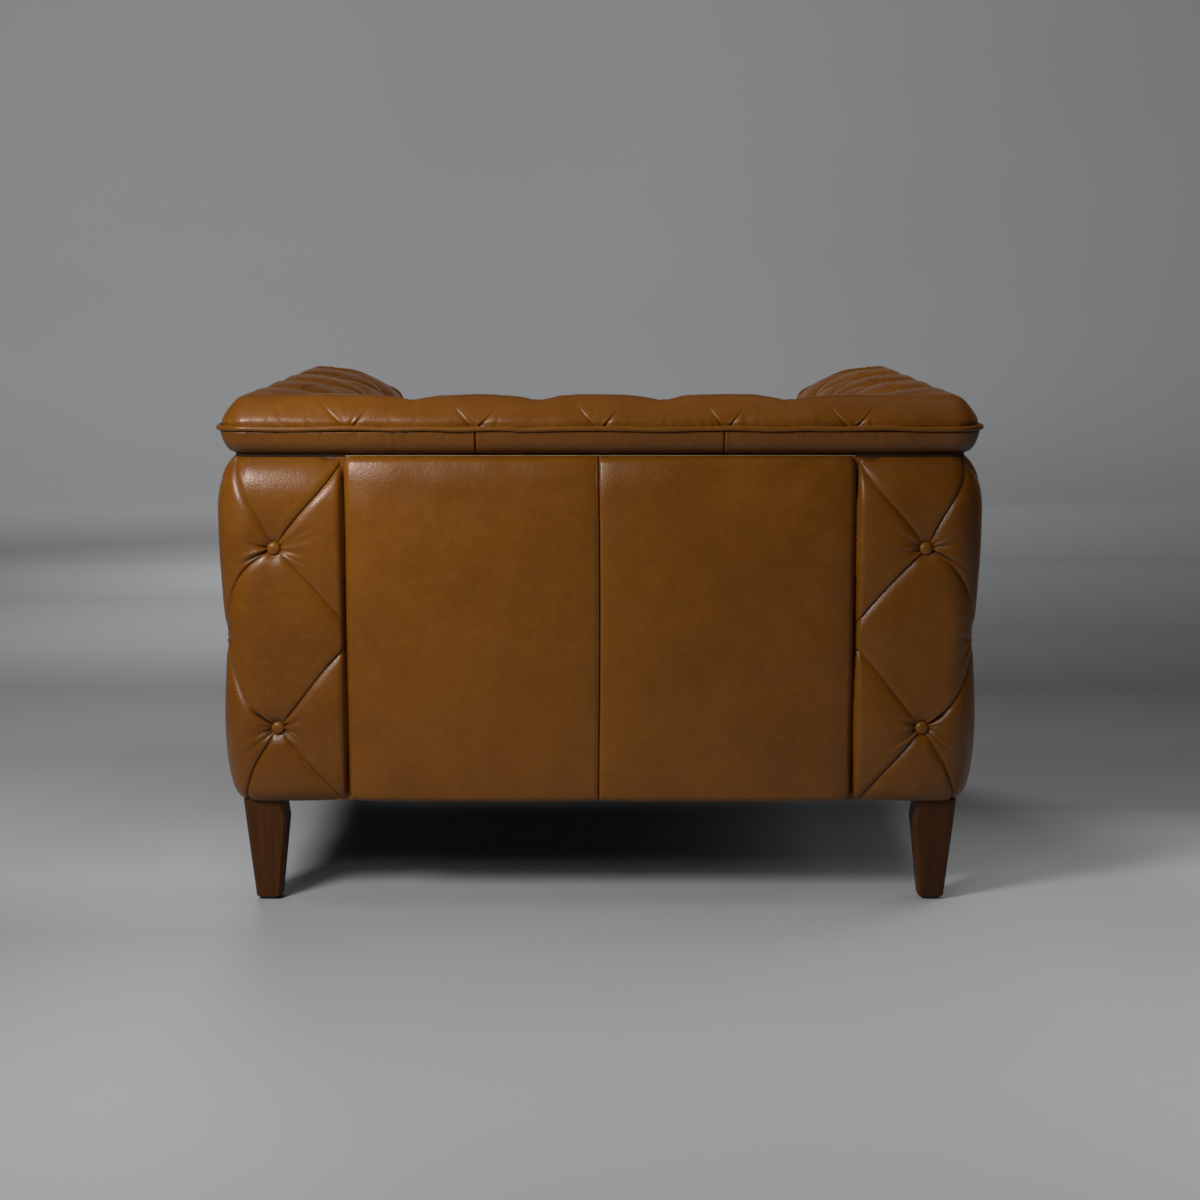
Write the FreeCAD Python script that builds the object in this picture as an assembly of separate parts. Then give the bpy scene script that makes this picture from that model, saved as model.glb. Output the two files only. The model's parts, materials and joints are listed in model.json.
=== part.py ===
import FreeCAD, Part
import math
import os

# A low-backed chesterfield armchair in tan leather on four tapered wooden legs. Arms and back
# are one height. Their tufted inner pads roll over the top to a piped seam, under which a plain
# band tucks into a neck. Below the neck each outer arm is one tufted wrap that turns round the
# rear corner on to the back and round the front corner on to the arm's face. The back's middle
# is a plain panel. The seat cushion is loose, zipped at its rear, and lifts out.
#
# Millimetres. +Z is up, the sitter faces -Y and +X is the sitter's left. The origin is on the
# floor under the middle of the chair. Most outlines are given as (n, z), where n is how far a
# point stands out from the frame's outer face.

V = FreeCAD.Vector
UP = V(0, 0, 1)

# ---- driving dimensions -------------------------------------------------------------------
overall_width = 1062.0
overall_depth = 872.0
crest_height = 720.0
underside_height = 150.0        # floor to the hem of the upholstery
welt_drop = 45.0                # crest to the middle of the welt
band_height = 35.0              # middle of the welt to the neck, where the band tucks in

# timber frame
outer_pad = 28.0                # outer arm and outside back padding at its fullest
frame_corner_radius = 23.0
arm_frame_thickness = 120.0
back_frame_thickness = 134.0
board = 28.0
stick = 26.0
top_rail_thickness = 25.0
seat_rail_height = 110.0
low_rail_height = 60.0
leg_block_height = 40.0
leg_block_length = 106.0
rear_post_width = 50.0
tack_rail_height = 38.0
tack_rail_lift = 2.0
lining = 4.0                    # hardboard lining of the outer arms and back
centre_post_width = 50.0

# leather and fit
leather = 2.0
seat_gap = 0.3                  # between a soft piece and what it lies against
core_overlap = 5.0              # how far a pad's core is drawn past the sides without leather
hem_width = 20.0
hem_thickness = 2.0

# outer arms and outside back
rear_face_reach = 126.0         # crest line to where the wrap meets the outside back panel
front_face_inset = 37.0         # arm pad's inner face to the upright welt on the arm's face
back_panel_gap = 2.0
back_panel_rise = 6.0           # outside back panel's lower edge above the hem
back_panel_pad = 25.0
back_panel_round = 14.0

# top band and welt
welt_radius = 4.0
welt_out = 23.0
welt_turn = 22.0                # turn of the welt at the arm's inner front corner
band_seam = 170.0               # |x| of the two seams in the band
band_seam_gap = 0.4

# tufted inner pads
arm_pad_reach = 167.0           # crest line to the arm's inner face
back_pad_reach = 190.0          # crest line to the back's inner face
roll_drop = 240.0               # crest to where the inner face turns upright
front_cap = 50.0                # length over which an arm rounds off at its front
cap_sections = 5
cap_start = 12.0                # degrees round the cap at which its flat front begins
webbing_thickness = 1.5
webbing_width = 60.0
webbing_straps = 5
webbing_margin = 14.0

# tufting
tuft_pitch = 172.0
tuft_row_pitch = 122.0
tuft_first_row = 100.0
tuft_rows = 3
tuft_edge_margin = 40.0
tuft_depth = 16.0
outer_tuft_depth = 12.0
outer_tuft_drop = 130.0         # neck to the upper row
outer_tuft_rise = 107.0         # hem to the lower row
outer_tuft_inset = 31.0         # first and last column from the corner's start
outer_tuft_steps = 10
dimple_radius = 24.0
button_radius = 9.0
button_height = 5.5
twine_radius = 1.0
twine_clearance = 0.2
twine_end = 12.0                # padding left behind the knot of an inner button's twine

# seat
deck_pad_thickness = 18.1
hessian_thickness = 1.2
deck_side_gap = 1.0
spring_wire = 1.8
spring_half_width = 25.0
spring_bend = 14.0
spring_count = 5
spring_spacing = 120.0
clip_wall = 1.5
clip_width = 20.0
clip_foot = 18.0
border_pad = 16.0
border_round = 8.0
border_end_gap = 2.0
border_drop = 2.0               # top of the front border below the deck

# loose seat cushion
cushion_side_gap = 1.5
cushion_front_inset = 8.0
cushion_corner = 30.0
cushion_boxing = 155.7          # height of the cushion's sides
cushion_crown = 16.0
crown_steps = 4
crown_reach = 120.0
zip_length = 520.0
zip_rise = 83.7                 # cushion's underside to the middle of the zip
zip_tape_width = 24.0
zip_tape_depth = 4.0
zip_tape_thickness = 0.8
zip_chain_width = 5.0
zip_chain_thickness = 2.0
zip_end_stop = 6.0
slider_length = 10.0
slider_width = 12.0
slider_gap = 0.3
slider_roof = 1.5
pull_width = 6.0
pull_length = 26.0
pull_thickness = 1.4

# legs
leg_top = 55.0
leg_knee_drop = 35.0
leg_knee_out = 4.0
leg_knee_in = 3.0               # how far the outer faces have come in at the knee
leg_foot = 35.0
leg_foot_in = 13.0
leg_inset = 0.0                 # leg's outer faces behind the frame's
leg_chamfer = 4.0
glide_radius = 15.0
glide_thickness = 5.0
glide_edge = 1.5
glide_pin_radius = 2.0
glide_pin_length = 14.0
bolt_radius = 4.0
bolt_in_leg = 45.0
bolt_in_block = 18.0
insert_radius = 6.5
insert_length = 22.0
thread_clearance = 0.1

# dust cover
dust_cover_thickness = 1.0
dust_cover_inset = 12.0
dust_cover_leg_gap = 2.0
staple_wire = 0.6
staple_crown = 10.0
staple_spacing = 110.0

# ---- derived places -----------------------------------------------------------------------
half_width = overall_width / 2
half_depth = overall_depth / 2
welt_height = crest_height - welt_drop
neck_height = welt_height - band_height
outer_tuft_high = neck_height - outer_tuft_drop
outer_tuft_low = underside_height + outer_tuft_rise
frame_x = half_width - outer_pad
frame_y = half_depth - outer_pad
crest_x = frame_x - frame_corner_radius
crest_y = frame_y - frame_corner_radius
frame_bottom = underside_height + hem_thickness
seat_rail_top = frame_bottom + seat_rail_height
block_top = frame_bottom + leg_block_height
top_rail_top = neck_height - 3.0
top_rail_bottom = top_rail_top - top_rail_thickness
arm_inner_x = frame_x - arm_frame_thickness
back_inner_y = frame_y - back_frame_thickness
spring_z = seat_rail_top + spring_wire + seat_gap + 2 * clip_wall
hessian_low = spring_z + spring_wire + seat_gap + clip_wall
hessian_top = hessian_low + hessian_thickness
deck_height = hessian_top + deck_pad_thickness
pad_back_x = arm_inner_x - webbing_thickness - seat_gap
pad_back_y = back_inner_y - webbing_thickness - seat_gap
pad_base = top_rail_top + seat_gap
pad_foot = deck_height + seat_gap
seat_x = crest_x - arm_pad_reach
seat_y = crest_y - back_pad_reach
front_face_edge = seat_x + front_face_inset     # |x| of the upright welt
rear_face_edge = crest_x - rear_face_reach      # |x| of the outside back panel's joint
facing_back = -frame_y + board

os.makedirs("parts", exist_ok=True)


# ---- small helpers ------------------------------------------------------------------------
def box(x, y, z):
    """A box from three (low, high) pairs."""
    return Part.makeBox(x[1] - x[0], y[1] - y[0], z[1] - z[0], V(x[0], y[0], z[0]))


def flip_x(shape):
    return shape.mirror(V(0, 0, 0), V(1, 0, 0))


def flip_y(shape):
    return shape.mirror(V(0, 0, 0), V(0, 1, 0))


def both_sides(shape):
    """A shape on the sitter's left and its mirror image on the right."""
    return [shape, flip_x(shape)]


def all_corners(shape):
    return both_sides(shape) + both_sides(flip_y(shape))


def grown(extent, by):
    return (extent[0] - by, extent[1] + by)


def fused(shapes):
    return shapes[0].multiFuse(shapes[1:]).removeSplitter()


def solids_of(shapes):
    return [solid for shape in shapes for solid in shape.Solids]


def save(name, shapes):
    """Writes one sub-part, a list of shapes, as parts/NAME.step."""
    solids = solids_of(shapes)
    bad = [s for s in solids if not s.isValid() or s.Volume <= 0]
    if bad or not solids:
        raise RuntimeError(f"{name}: {len(bad)} of {len(solids)} solids are not sound")
    whole = solids[0] if len(solids) == 1 else Part.makeCompound(solids)
    whole.exportStep(os.path.join("parts", f"{name}.step"))


def polygon_prism(corners, low, high):
    """A prism over a list of (x, y) corners."""
    points = [V(x, y, low) for x, y in corners]
    wire = Part.makePolygon(points + points[:1])
    return Part.Face(wire).extrude(V(0, 0, high - low))


def rounded_plan(x, y, radius, z):
    """A wire round a rectangle in plan, with round corners, at height z."""
    (x0, x1), (y0, y1) = x, y
    s = radius * (1 - math.sqrt(0.5))
    rows = [
        (V(x0 + radius, y0, z), V(x1 - radius, y0, z), V(x1 - s, y0 + s, z)),
        (V(x1, y0 + radius, z), V(x1, y1 - radius, z), V(x1 - s, y1 - s, z)),
        (V(x1 - radius, y1, z), V(x0 + radius, y1, z), V(x0 + s, y1 - s, z)),
        (V(x0, y1 - radius, z), V(x0, y0 + radius, z), V(x0 + s, y0 + s, z)),
    ]
    edges = []
    for i, (start, end, middle) in enumerate(rows):
        edges.append(Part.LineSegment(start, end).toShape())
        edges.append(Part.Arc(end, middle, rows[(i + 1) % 4][0]).toShape())
    return Part.Wire(edges)


def rounded_prism(x, y, radius, z):
    return Part.Face(rounded_plan(x, y, radius, z[0])).extrude(V(0, 0, z[1] - z[0]))


# The frame's whole outline in plan, used to round the pieces at its corners.
frame_outline = rounded_prism(
    (-frame_x, frame_x), (-frame_y, frame_y), frame_corner_radius, (0, crest_height)
)


# ---- outlines in (n, z) and the ways they are carried along the chair ------------------------
class Outline:
    """A closed outline of splines and straight lines, in (n, z)."""

    def __init__(self):
        self.runs = []

    def spline(self, points, start=None, end=None):
        self.runs.append(("spline", points, start, end))
        return self

    def line(self, *points):
        self.runs.append(("line", list(points), None, None))
        return self

    def wire(self, place):
        """The outline as a wire. place turns (n, z) into a point."""
        edges = []
        for kind, points, start, end in self.runs:
            spots = [place(n, z) for n, z in points]
            if kind == "line":
                edges += [Part.makeLine(a, b) for a, b in zip(spots, spots[1:])]
                continue
            curve = Part.BSplineCurve()
            if start or end:
                origin = place(0, 0)
                tangents = [(place(*t) - origin).normalize() for t in (start, end)]
                curve.interpolate(Points=spots, InitialTangent=tangents[0], FinalTangent=tangents[1])
            else:
                curve.interpolate(Points=spots)
            edges.append(curve.toShape())
        return Part.Wire(edges)

    def face(self, place):
        return Part.Face(self.wire(place))


def inset(points, by):
    """An open outline moved in by a thickness, towards its left as it climbs and turns over."""
    moved = []
    for i, (n, z) in enumerate(points):
        a = points[max(i - 1, 0)]
        b = points[min(i + 1, len(points) - 1)]
        dn, dz = b[0] - a[0], b[1] - a[1]
        size = math.hypot(dn, dz)
        moved.append((n - dz / size * by, z + dn / size * by))
    return moved


def on_rear(x):
    """Places (n, z) on the rear face of the frame at that x."""
    return lambda n, z: V(x, frame_y + n, z)


def on_side(y):
    """Places (n, z) on the left face of the frame at that y."""
    return lambda n, z: V(frame_x + n, y, z)


def on_front(x):
    return lambda n, z: V(x, -frame_y - n, z)


def rear_corner(outline, angle=90.0):
    """An outline turned round the left rear corner, from the side face to the rear face."""
    face = outline.face(on_side(crest_y))
    return face.revolve(V(crest_x, crest_y, 0), UP, angle)


def front_corner(outline):
    face = outline.face(on_side(-crest_y))
    return face.revolve(V(crest_x, -crest_y, 0), UP, -90.0)


def side_run(outline, y0, y1):
    return outline.face(on_side(y0)).extrude(V(0, y1 - y0, 0))


def rear_run(outline, x0, x1):
    return outline.face(on_rear(x0)).extrude(V(x1 - x0, 0, 0))


def front_run(outline, x0, x1):
    return outline.face(on_front(x0)).extrude(V(x1 - x0, 0, 0))


def wrapped(outline, rear_end, front_end):
    """An outline carried round the chair's left side, from the rear face to the arm's face."""
    return fused([
        rear_run(outline, rear_end, crest_x),
        rear_corner(outline),
        side_run(outline, -crest_y, crest_y),
        front_corner(outline),
        front_run(outline, front_end, crest_x),
    ])


# ---- timber frame ---------------------------------------------------------------------------
def leg_block_box():
    """The left rear leg block before its corner is rounded."""
    x = (arm_inner_x + stick, frame_x)
    return box(x, (frame_y - leg_block_length, frame_y), (frame_bottom, block_top))


def leg_blocks():
    x, y = leg_centre()
    bore = Part.makeCylinder(insert_radius, insert_length, V(x, y, frame_bottom))
    return all_corners(leg_block_box().common(frame_outline).cut(bore))


def rear_posts():
    x = (frame_x - rear_post_width, frame_x)
    post = box(x, (frame_y - board, frame_y), (block_top, top_rail_bottom))
    return both_sides(post.common(frame_outline))


def facing_board():
    """The wide upright board behind the arm's face, on the sitter's left. It stands on the
    leg block and runs down beside it to the hem."""
    x = (front_face_edge, frame_x)
    whole = box(x, (-frame_y, facing_back), (frame_bottom, top_rail_bottom))
    return whole.common(frame_outline).cut(flip_y(leg_block_box()))


def inner_posts():
    x = (arm_inner_x, arm_inner_x + stick)
    y = (back_inner_y, back_inner_y + stick)
    return both_sides(box(x, y, (frame_bottom, top_rail_bottom)))


def arm_rail():
    x = (arm_inner_x, frame_x)
    rail = box(x, (-frame_y, frame_y), (top_rail_bottom, top_rail_top))
    return rail.common(frame_outline)


def back_rail():
    return box((-arm_inner_x, arm_inner_x), (back_inner_y, frame_y), (top_rail_bottom, top_rail_top))


def seat_side_rail():
    x = (arm_inner_x, arm_inner_x + stick)
    return box(x, (facing_back, back_inner_y), (frame_bottom, seat_rail_top))


def seat_rear_rail():
    y = (back_inner_y, back_inner_y + stick)
    return box((-arm_inner_x, arm_inner_x), y, (frame_bottom, seat_rail_top))


def seat_front_rail():
    x = (-front_face_edge, front_face_edge)
    return box(x, (-frame_y, facing_back), (frame_bottom, seat_rail_top))


def low_side_rails():
    half = frame_y - leg_block_length
    x = (frame_x - stick, frame_x)
    return both_sides(box(x, (-half, half), (frame_bottom, frame_bottom + low_rail_height)))


def low_back_rail():
    half = arm_inner_x + stick
    y = (frame_y - board, frame_y)
    return box((-half, half), y, (frame_bottom, frame_bottom + low_rail_height))


def tack_rail_z():
    low = deck_height + tack_rail_lift
    return (low, low + tack_rail_height)


def arm_tack_rails():
    x = (arm_inner_x, arm_inner_x + stick)
    return both_sides(box(x, (facing_back, back_inner_y), tack_rail_z()))


def back_tack_rail():
    y = (back_inner_y, back_inner_y + stick)
    return box((-arm_inner_x, arm_inner_x), y, tack_rail_z())


def centre_post():
    x = (-centre_post_width / 2, centre_post_width / 2)
    y = (frame_y - lining - board, frame_y - lining)
    post = box(x, y, (frame_bottom + low_rail_height, top_rail_bottom))
    return post


def arm_linings():
    """Hardboard let in flush between the rear post, the facing board and the rails."""
    z = (frame_bottom + low_rail_height, top_rail_bottom)
    y = (facing_back, frame_y - board)
    block = box((frame_x - lining, frame_x), y, z)
    return both_sides(block)


def back_lining():
    half = frame_x - rear_post_width
    z = (frame_bottom + low_rail_height, top_rail_bottom)
    return box((-half, half), (frame_y - lining, frame_y), z)


def save_frame():
    save("frame_leg_blocks", leg_blocks())
    save("frame_rear_posts", rear_posts())
    for side, facing, rail, seat_rail in zip(
        ("left", "right"),
        both_sides(facing_board()),
        both_sides(arm_rail()),
        both_sides(seat_side_rail()),
    ):
        save(f"frame_facing_board_{side}", [facing])
        save(f"frame_arm_rail_{side}", [rail])
        save(f"frame_seat_side_rail_{side}", [seat_rail])
    save("frame_inner_posts", inner_posts())
    save("frame_back_rail", [back_rail()])
    save("frame_seat_rear_rail", [seat_rear_rail()])
    save("frame_seat_front_rail", [seat_front_rail()])
    save("frame_low_side_rails", low_side_rails())
    save("frame_low_back_rail", [low_back_rail()])
    save("frame_arm_tack_rails", arm_tack_rails())
    save("frame_back_tack_rail", [back_tack_rail()])
    save("frame_centre_post", [centre_post()])
    save("frame_arm_linings", arm_linings())
    save("frame_back_lining", [back_lining()])


# ---- legs -----------------------------------------------------------------------------------
def leg_centre():
    """The axis of the hanger bolt, at the middle of the leg's top."""
    return (frame_x - leg_inset - leg_top / 2, frame_y - leg_inset - leg_top / 2)


def leg_section(outer_in, width, z):
    """A square with small chamfers, its outer faces that far inside the frame's."""
    x1, y1 = frame_x - leg_inset - outer_in, frame_y - leg_inset - outer_in
    x0, y0, c = x1 - width, y1 - width, leg_chamfer
    corners = [
        (x0 + c, y0), (x1 - c, y0), (x1, y0 + c), (x1, y1 - c),
        (x1 - c, y1), (x0 + c, y1), (x0, y1 - c), (x0, y0 + c),
    ]
    points = [V(x, y, z) for x, y in corners]
    return Part.makePolygon(points + points[:1])


def leg():
    """The left rear leg: widest a little below its top, then tapering to its foot."""
    knee_width = leg_top - leg_knee_in + leg_knee_out
    top = leg_section(0, leg_top, underside_height)
    knee = leg_section(leg_knee_in, knee_width, underside_height - leg_knee_drop)
    foot = leg_section(leg_foot_in, leg_foot, glide_thickness)
    upper = Part.makeLoft([knee, top], True, True)
    lower = Part.makeLoft([foot, knee], True, True)
    x, y = leg_centre()
    depth = bolt_in_leg + thread_clearance
    bore = Part.makeCylinder(
        bolt_radius + thread_clearance, depth, V(x, y, underside_height - depth)
    )
    gx, gy = foot_centre()
    pin_bore = Part.makeCylinder(
        glide_pin_radius + thread_clearance,
        glide_pin_length + thread_clearance,
        V(gx, gy, glide_thickness),
    )
    return upper.fuse(lower).cut(bore).cut(pin_bore)


def foot_centre():
    away = leg_inset + leg_foot_in + leg_foot / 2
    return (frame_x - away, frame_y - away)


def glide():
    x, y = foot_centre()
    disc = Part.makeCylinder(glide_radius, glide_thickness, V(x, y, 0))
    disc = disc.makeChamfer(glide_edge, [e for e in disc.Edges if abs(e.BoundBox.ZMax) < 1e-6])
    pin = Part.makeCylinder(glide_pin_radius, glide_pin_length, V(x, y, glide_thickness))
    return disc.fuse(pin)


def hanger_bolt():
    x, y = leg_centre()
    low = underside_height - bolt_in_leg
    return Part.makeCylinder(bolt_radius, bolt_in_leg + hem_thickness + bolt_in_block, V(x, y, low))


def threaded_insert():
    x, y = leg_centre()
    base = V(x, y, frame_bottom)
    sleeve = Part.makeCylinder(insert_radius - thread_clearance / 2, insert_length, base)
    return sleeve.cut(Part.makeCylinder(bolt_radius + thread_clearance, insert_length, base))


def save_legs():
    rear = both_sides(leg())
    front = both_sides(flip_y(leg()))
    save("leg_rear_left", [rear[0]])
    save("leg_rear_right", [rear[1]])
    save("leg_front_left", [front[0]])
    save("leg_front_right", [front[1]])
    save("leg_glides", all_corners(glide()))
    save("leg_bolts", all_corners(hanger_bolt()))
    save("leg_inserts", all_corners(threaded_insert()))


# ---- outer arms: a tufted wrap from the outside back to the arm's face -----------------------
# Shares of the padding's thickness and of the height from hem to neck: full above and below,
# drawn in at the middle row of buttons.
outer_shape = [
    (0.16, 0.0), (0.58, 0.03), (0.83, 0.10), (0.93, 0.26), (0.76, 0.48),
    (0.96, 0.70), (1.0, 0.81), (0.93, 0.92), (0.62, 0.97), (0.12, 1.0),
]


def outer_surface():
    rise = neck_height - underside_height
    return [(n * outer_pad, underside_height + z * rise) for n, z in outer_shape]


def outer_leather_outline():
    """The wrap's outside, with the hem that turns under the frame."""
    curve = outer_surface()
    top = (seat_gap, curve[-1][1])
    foot = (seat_gap, frame_bottom)
    hem = [(-hem_width, frame_bottom), (-hem_width, underside_height)]
    return Outline().spline(curve).line(curve[-1], top, foot, *hem, curve[0])


def outer_core_outline():
    """All that lies inside the wrap's leather, and a little of the frame."""
    curve = inset(outer_surface(), leather)
    curve[0] = (curve[0][0], frame_bottom)
    curve[-1] = (2 * seat_gap, top_rail_top)
    back = [(-core_overlap, top_rail_top), (-core_overlap, frame_bottom)]
    return Outline().spline(curve).line(curve[-1], *back, curve[0])


def outer_surface_at(height):
    """How far the outer arm stands out at that height."""
    curve = outer_surface()
    for (n0, z0), (n1, z1) in zip(curve, curve[1:]):
        if z0 <= height <= z1:
            return n0 + (n1 - n0) * (height - z0) / (z1 - z0)
    return curve[-1][0]


def wrap_spot(s):
    """The frame's outer face at a distance s round the wrap, measured on the leather, from the
    left rear corner's start on the rear face. Returns a point at height 0 and the way out."""
    radius = frame_corner_radius + outer_pad
    arc = radius * math.pi / 2
    side = 2 * crest_y
    if s < 0:
        return V(crest_x + s, frame_y, 0), V(0, 1, 0)
    if s <= arc:
        turn = s / radius
        way = V(math.sin(turn), math.cos(turn), 0)
        return V(crest_x, crest_y, 0) + way * frame_corner_radius, way
    if s <= arc + side:
        return V(frame_x, crest_y - (s - arc), 0), V(1, 0, 0)
    if s <= 2 * arc + side:
        turn = (s - arc - side) / radius
        way = V(math.cos(turn), -math.sin(turn), 0)
        return V(crest_x, -crest_y, 0) + way * frame_corner_radius, way
    return V(crest_x - (s - 2 * arc - side), -frame_y, 0), V(0, -1, 0)


def outer_tufts():
    """(point on the leather, way out, length of twine) of each button on the left outer arm.
    Columns of two buttons alternate with columns of one, half a row between them."""
    arc = (frame_corner_radius + outer_pad) * math.pi / 2
    start = -outer_tuft_inset
    length = 2 * (outer_tuft_inset + arc + crest_y)
    middle = (outer_tuft_high + outer_tuft_low) / 2
    spots = []
    for column in range(outer_tuft_steps + 1):
        base, way = wrap_spot(start + length * column / outer_tuft_steps)
        heights = [middle] if column % 2 else [outer_tuft_low, outer_tuft_high]
        for z in heights:
            out = outer_surface_at(z)
            twine = out - outer_tuft_depth - seat_gap
            spots.append((base + way * out + UP * z, way, twine))
    return spots


# ---- tufts and buttons ------------------------------------------------------------------------
def dimple(spot, way, depth, skin):
    """The hollow that a button pulls, a cone with a flat floor as wide as the button. skin
    moves it in by the leather, for the hollow in the foam."""
    floor = spot - way * (depth + skin)
    slope = (dimple_radius - button_radius) / depth
    rise = depth + skin + dimple_radius / 2
    low = button_radius + skin + twine_clearance
    return Part.makeCone(low, low + slope * rise, rise, floor, way)


def twine_hole(spot, way, twine, depth):
    length = twine + twine_clearance
    return Part.makeCylinder(twine_radius + twine_clearance, length, spot - way * (depth + length), way)


def button(spot, way, twine, depth):
    """A domed button on its twine, which runs back through the padding."""
    seat = spot - way * depth
    ball = (button_radius**2 + button_height**2) / (2 * button_height)
    sunk = ball - button_height
    start = math.degrees(math.asin(sunk / ball))
    dome = Part.makeSphere(ball, seat - way * sunk, way, start, 90, 360)
    return dome.fuse(Part.makeCylinder(twine_radius, twine, seat - way * twine, way))


def tufted(outside, core, tufts, depth):
    """The leather and the foam of a tufted pad. core is all that lies inside the leather."""
    holes = [twine_hole(*tuft, depth) for tuft in tufts]
    outside = outside.cut([dimple(spot, way, depth, 0) for spot, way, _ in tufts])
    core = core.cut([dimple(spot, way, depth, leather) for spot, way, _ in tufts])
    cover, foam = outside.cut(core), outside.common(core)
    return biggest(cover.cut(holes)), biggest(foam.cut(holes))


def biggest(shape):
    return max(shape.Solids, key=lambda solid: solid.Volume)


def save_outer_arms():
    tufts = outer_tufts()
    front_end = front_face_edge + welt_radius + seat_gap
    outside = wrapped(outer_leather_outline(), rear_face_edge, front_end)
    core = wrapped(outer_core_outline(), rear_face_edge - core_overlap, front_end - core_overlap)
    cover, foam = tufted(outside, core, tufts, outer_tuft_depth)
    for side, cover_half, foam_half in zip(("left", "right"), both_sides(cover), both_sides(foam)):
        save(f"outer_arm_cover_{side}", [cover_half])
        save(f"outer_arm_foam_{side}", [foam_half])
    buttons = [button(*tuft, outer_tuft_depth) for tuft in tufts]
    save("outer_arm_buttons", buttons + [flip_x(b) for b in buttons])


# ---- tufted inner pads, which roll over the top ------------------------------------------------
# From the crest inwards: shares of the pad's reach and of the roll's drop.
roll_shape = [
    (0.0, 0.0), (0.27, 0.017), (0.51, 0.067), (0.69, 0.142), (0.83, 0.258),
    (0.92, 0.438), (0.97, 0.667), (1.0, 1.0),
]
# The band's face from the neck to the welt, and the pad's rise from the welt to the crest,
# as (n, height above the neck) and (n, share of the height from welt to crest).
band_face = [(3.0, 0.0), (9.0, 8.0), (19.0, 21.0), (22.0, 30.4)]
rise_face = [(21.0, 0.09), (15.0, 0.44), (2.0, 0.80)]


def band_points():
    return [(n, neck_height + z) for n, z in band_face]


def under_points():
    """The pad's line behind the band, just clear of it."""
    return inset(band_points(), leather + seat_gap)


def rail_step():
    """The pad's edge over the rail, where it steps up clear of the outer arm's leather."""
    return [(0.0, pad_base), (0.0, neck_height + seat_gap)]


def welt_room():
    """Corners of the pad's edge behind the welt, clear of it."""
    away = welt_radius + seat_gap
    return [(welt_out - away, welt_height), (welt_out - 0.74 * away, welt_height + 0.74 * away)]


def rise_points(skin=0.0):
    """From the welt to the crest, moved in by a skin."""
    rise = crest_height - welt_height
    points = [(n, welt_height + share * rise) for n, share in rise_face]
    points.append((-frame_corner_radius, crest_height))
    if skin:
        points = inset(points, skin)
        points[-1] = (-frame_corner_radius, crest_height - skin)
    return points


def roll_points(reach, skin=0.0):
    """From the crest to the foot of the roll, for a pad that reaches that far inwards."""
    points = [
        (-frame_corner_radius - w * reach, crest_height - drop * roll_drop)
        for w, drop in roll_shape
    ]
    if skin:
        points = inset(points, skin)
        points[0] = (-frame_corner_radius, crest_height - skin)
        points[-1] = (skin - frame_corner_radius - reach, crest_height - roll_drop)
    return points


def as_it_is(n, z):
    return (n, z)


def pad_outline(reach, pad_back, squeeze=as_it_is):
    """The pad's whole section. pad_back is n of its back below the rail, and squeeze moves each
    point towards the welt, for the rounded front."""
    foot = squeeze(-frame_corner_radius - reach, pad_foot)
    runs = (under_points(), welt_room(), rail_step(), rise_points(), roll_points(reach))
    under, room, step, rise, roll = ([squeeze(n, z) for n, z in run] for run in runs)
    return (
        Outline()
        .spline(under)
        .line(under[-1], *room, rise[0])
        .spline(rise, start=(0, 1), end=(-1, 0))
        .spline(roll, start=(-1, 0), end=(0, -1))
        .line(roll[-1], foot, (pad_back, pad_foot), (pad_back, pad_base), *step, under[0])
    )


def core_outline(reach, squeeze=as_it_is):
    """All that lies inside the pad's leather, open past its other sides."""
    low = pad_foot - core_overlap
    foot = squeeze(leather - frame_corner_radius - reach, low)
    runs = (rise_points(leather), roll_points(reach, leather))
    rise, roll = ([squeeze(n, z) for n, z in run] for run in runs)
    out = 2 * outer_pad
    return (
        Outline()
        .spline(rise, start=(0, 1), end=(-1, 0))
        .spline(roll, start=(-1, 0), end=(0, -1))
        .line(roll[-1], foot, (out, low), (out, rise[0][1]), rise[0])
    )


def corner_outline():
    """The part of the pad's section outside the crest line, which turns round the corner."""
    under, rise = under_points(), rise_points()
    return (
        Outline()
        .spline(under)
        .line(under[-1], *welt_room(), rise[0])
        .spline(rise, start=(0, 1), end=(-1, 0))
        .line(rise[-1], (-frame_corner_radius, pad_base), *rail_step(), under[0])
    )


def corner_core_outline():
    rise = rise_points(leather)
    low, out = pad_foot - core_overlap, 2 * outer_pad
    outline = Outline().spline(rise, start=(0, 1), end=(-1, 0))
    return outline.line(rise[-1], (-frame_corner_radius, low), (out, low), (out, rise[0][1]), rise[0])


def towards_welt(share):
    """Moves a point of the arm's section towards the welt line on the arm's face: share 1
    leaves it and share 0 puts it on the welt."""
    away = welt_radius + seat_gap
    edge_n, top = front_face_edge - away - frame_x, welt_height + away
    turn = welt_turn + away
    turn_n, turn_z = edge_n + turn, top - turn

    def squeeze(n, z):
        if n >= -frame_corner_radius:
            goal = (-frame_corner_radius, min(z, top))
        elif n >= turn_n:
            goal = (n, top)
        elif z <= turn_z:
            goal = (edge_n, z)
        else:
            scale = turn / math.hypot(n - turn_n, z - turn_z)
            goal = (turn_n + (n - turn_n) * scale, turn_z + (z - turn_z) * scale)
        return (goal[0] + (n - goal[0]) * share, goal[1] + (z - goal[1]) * share)

    return squeeze


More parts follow.
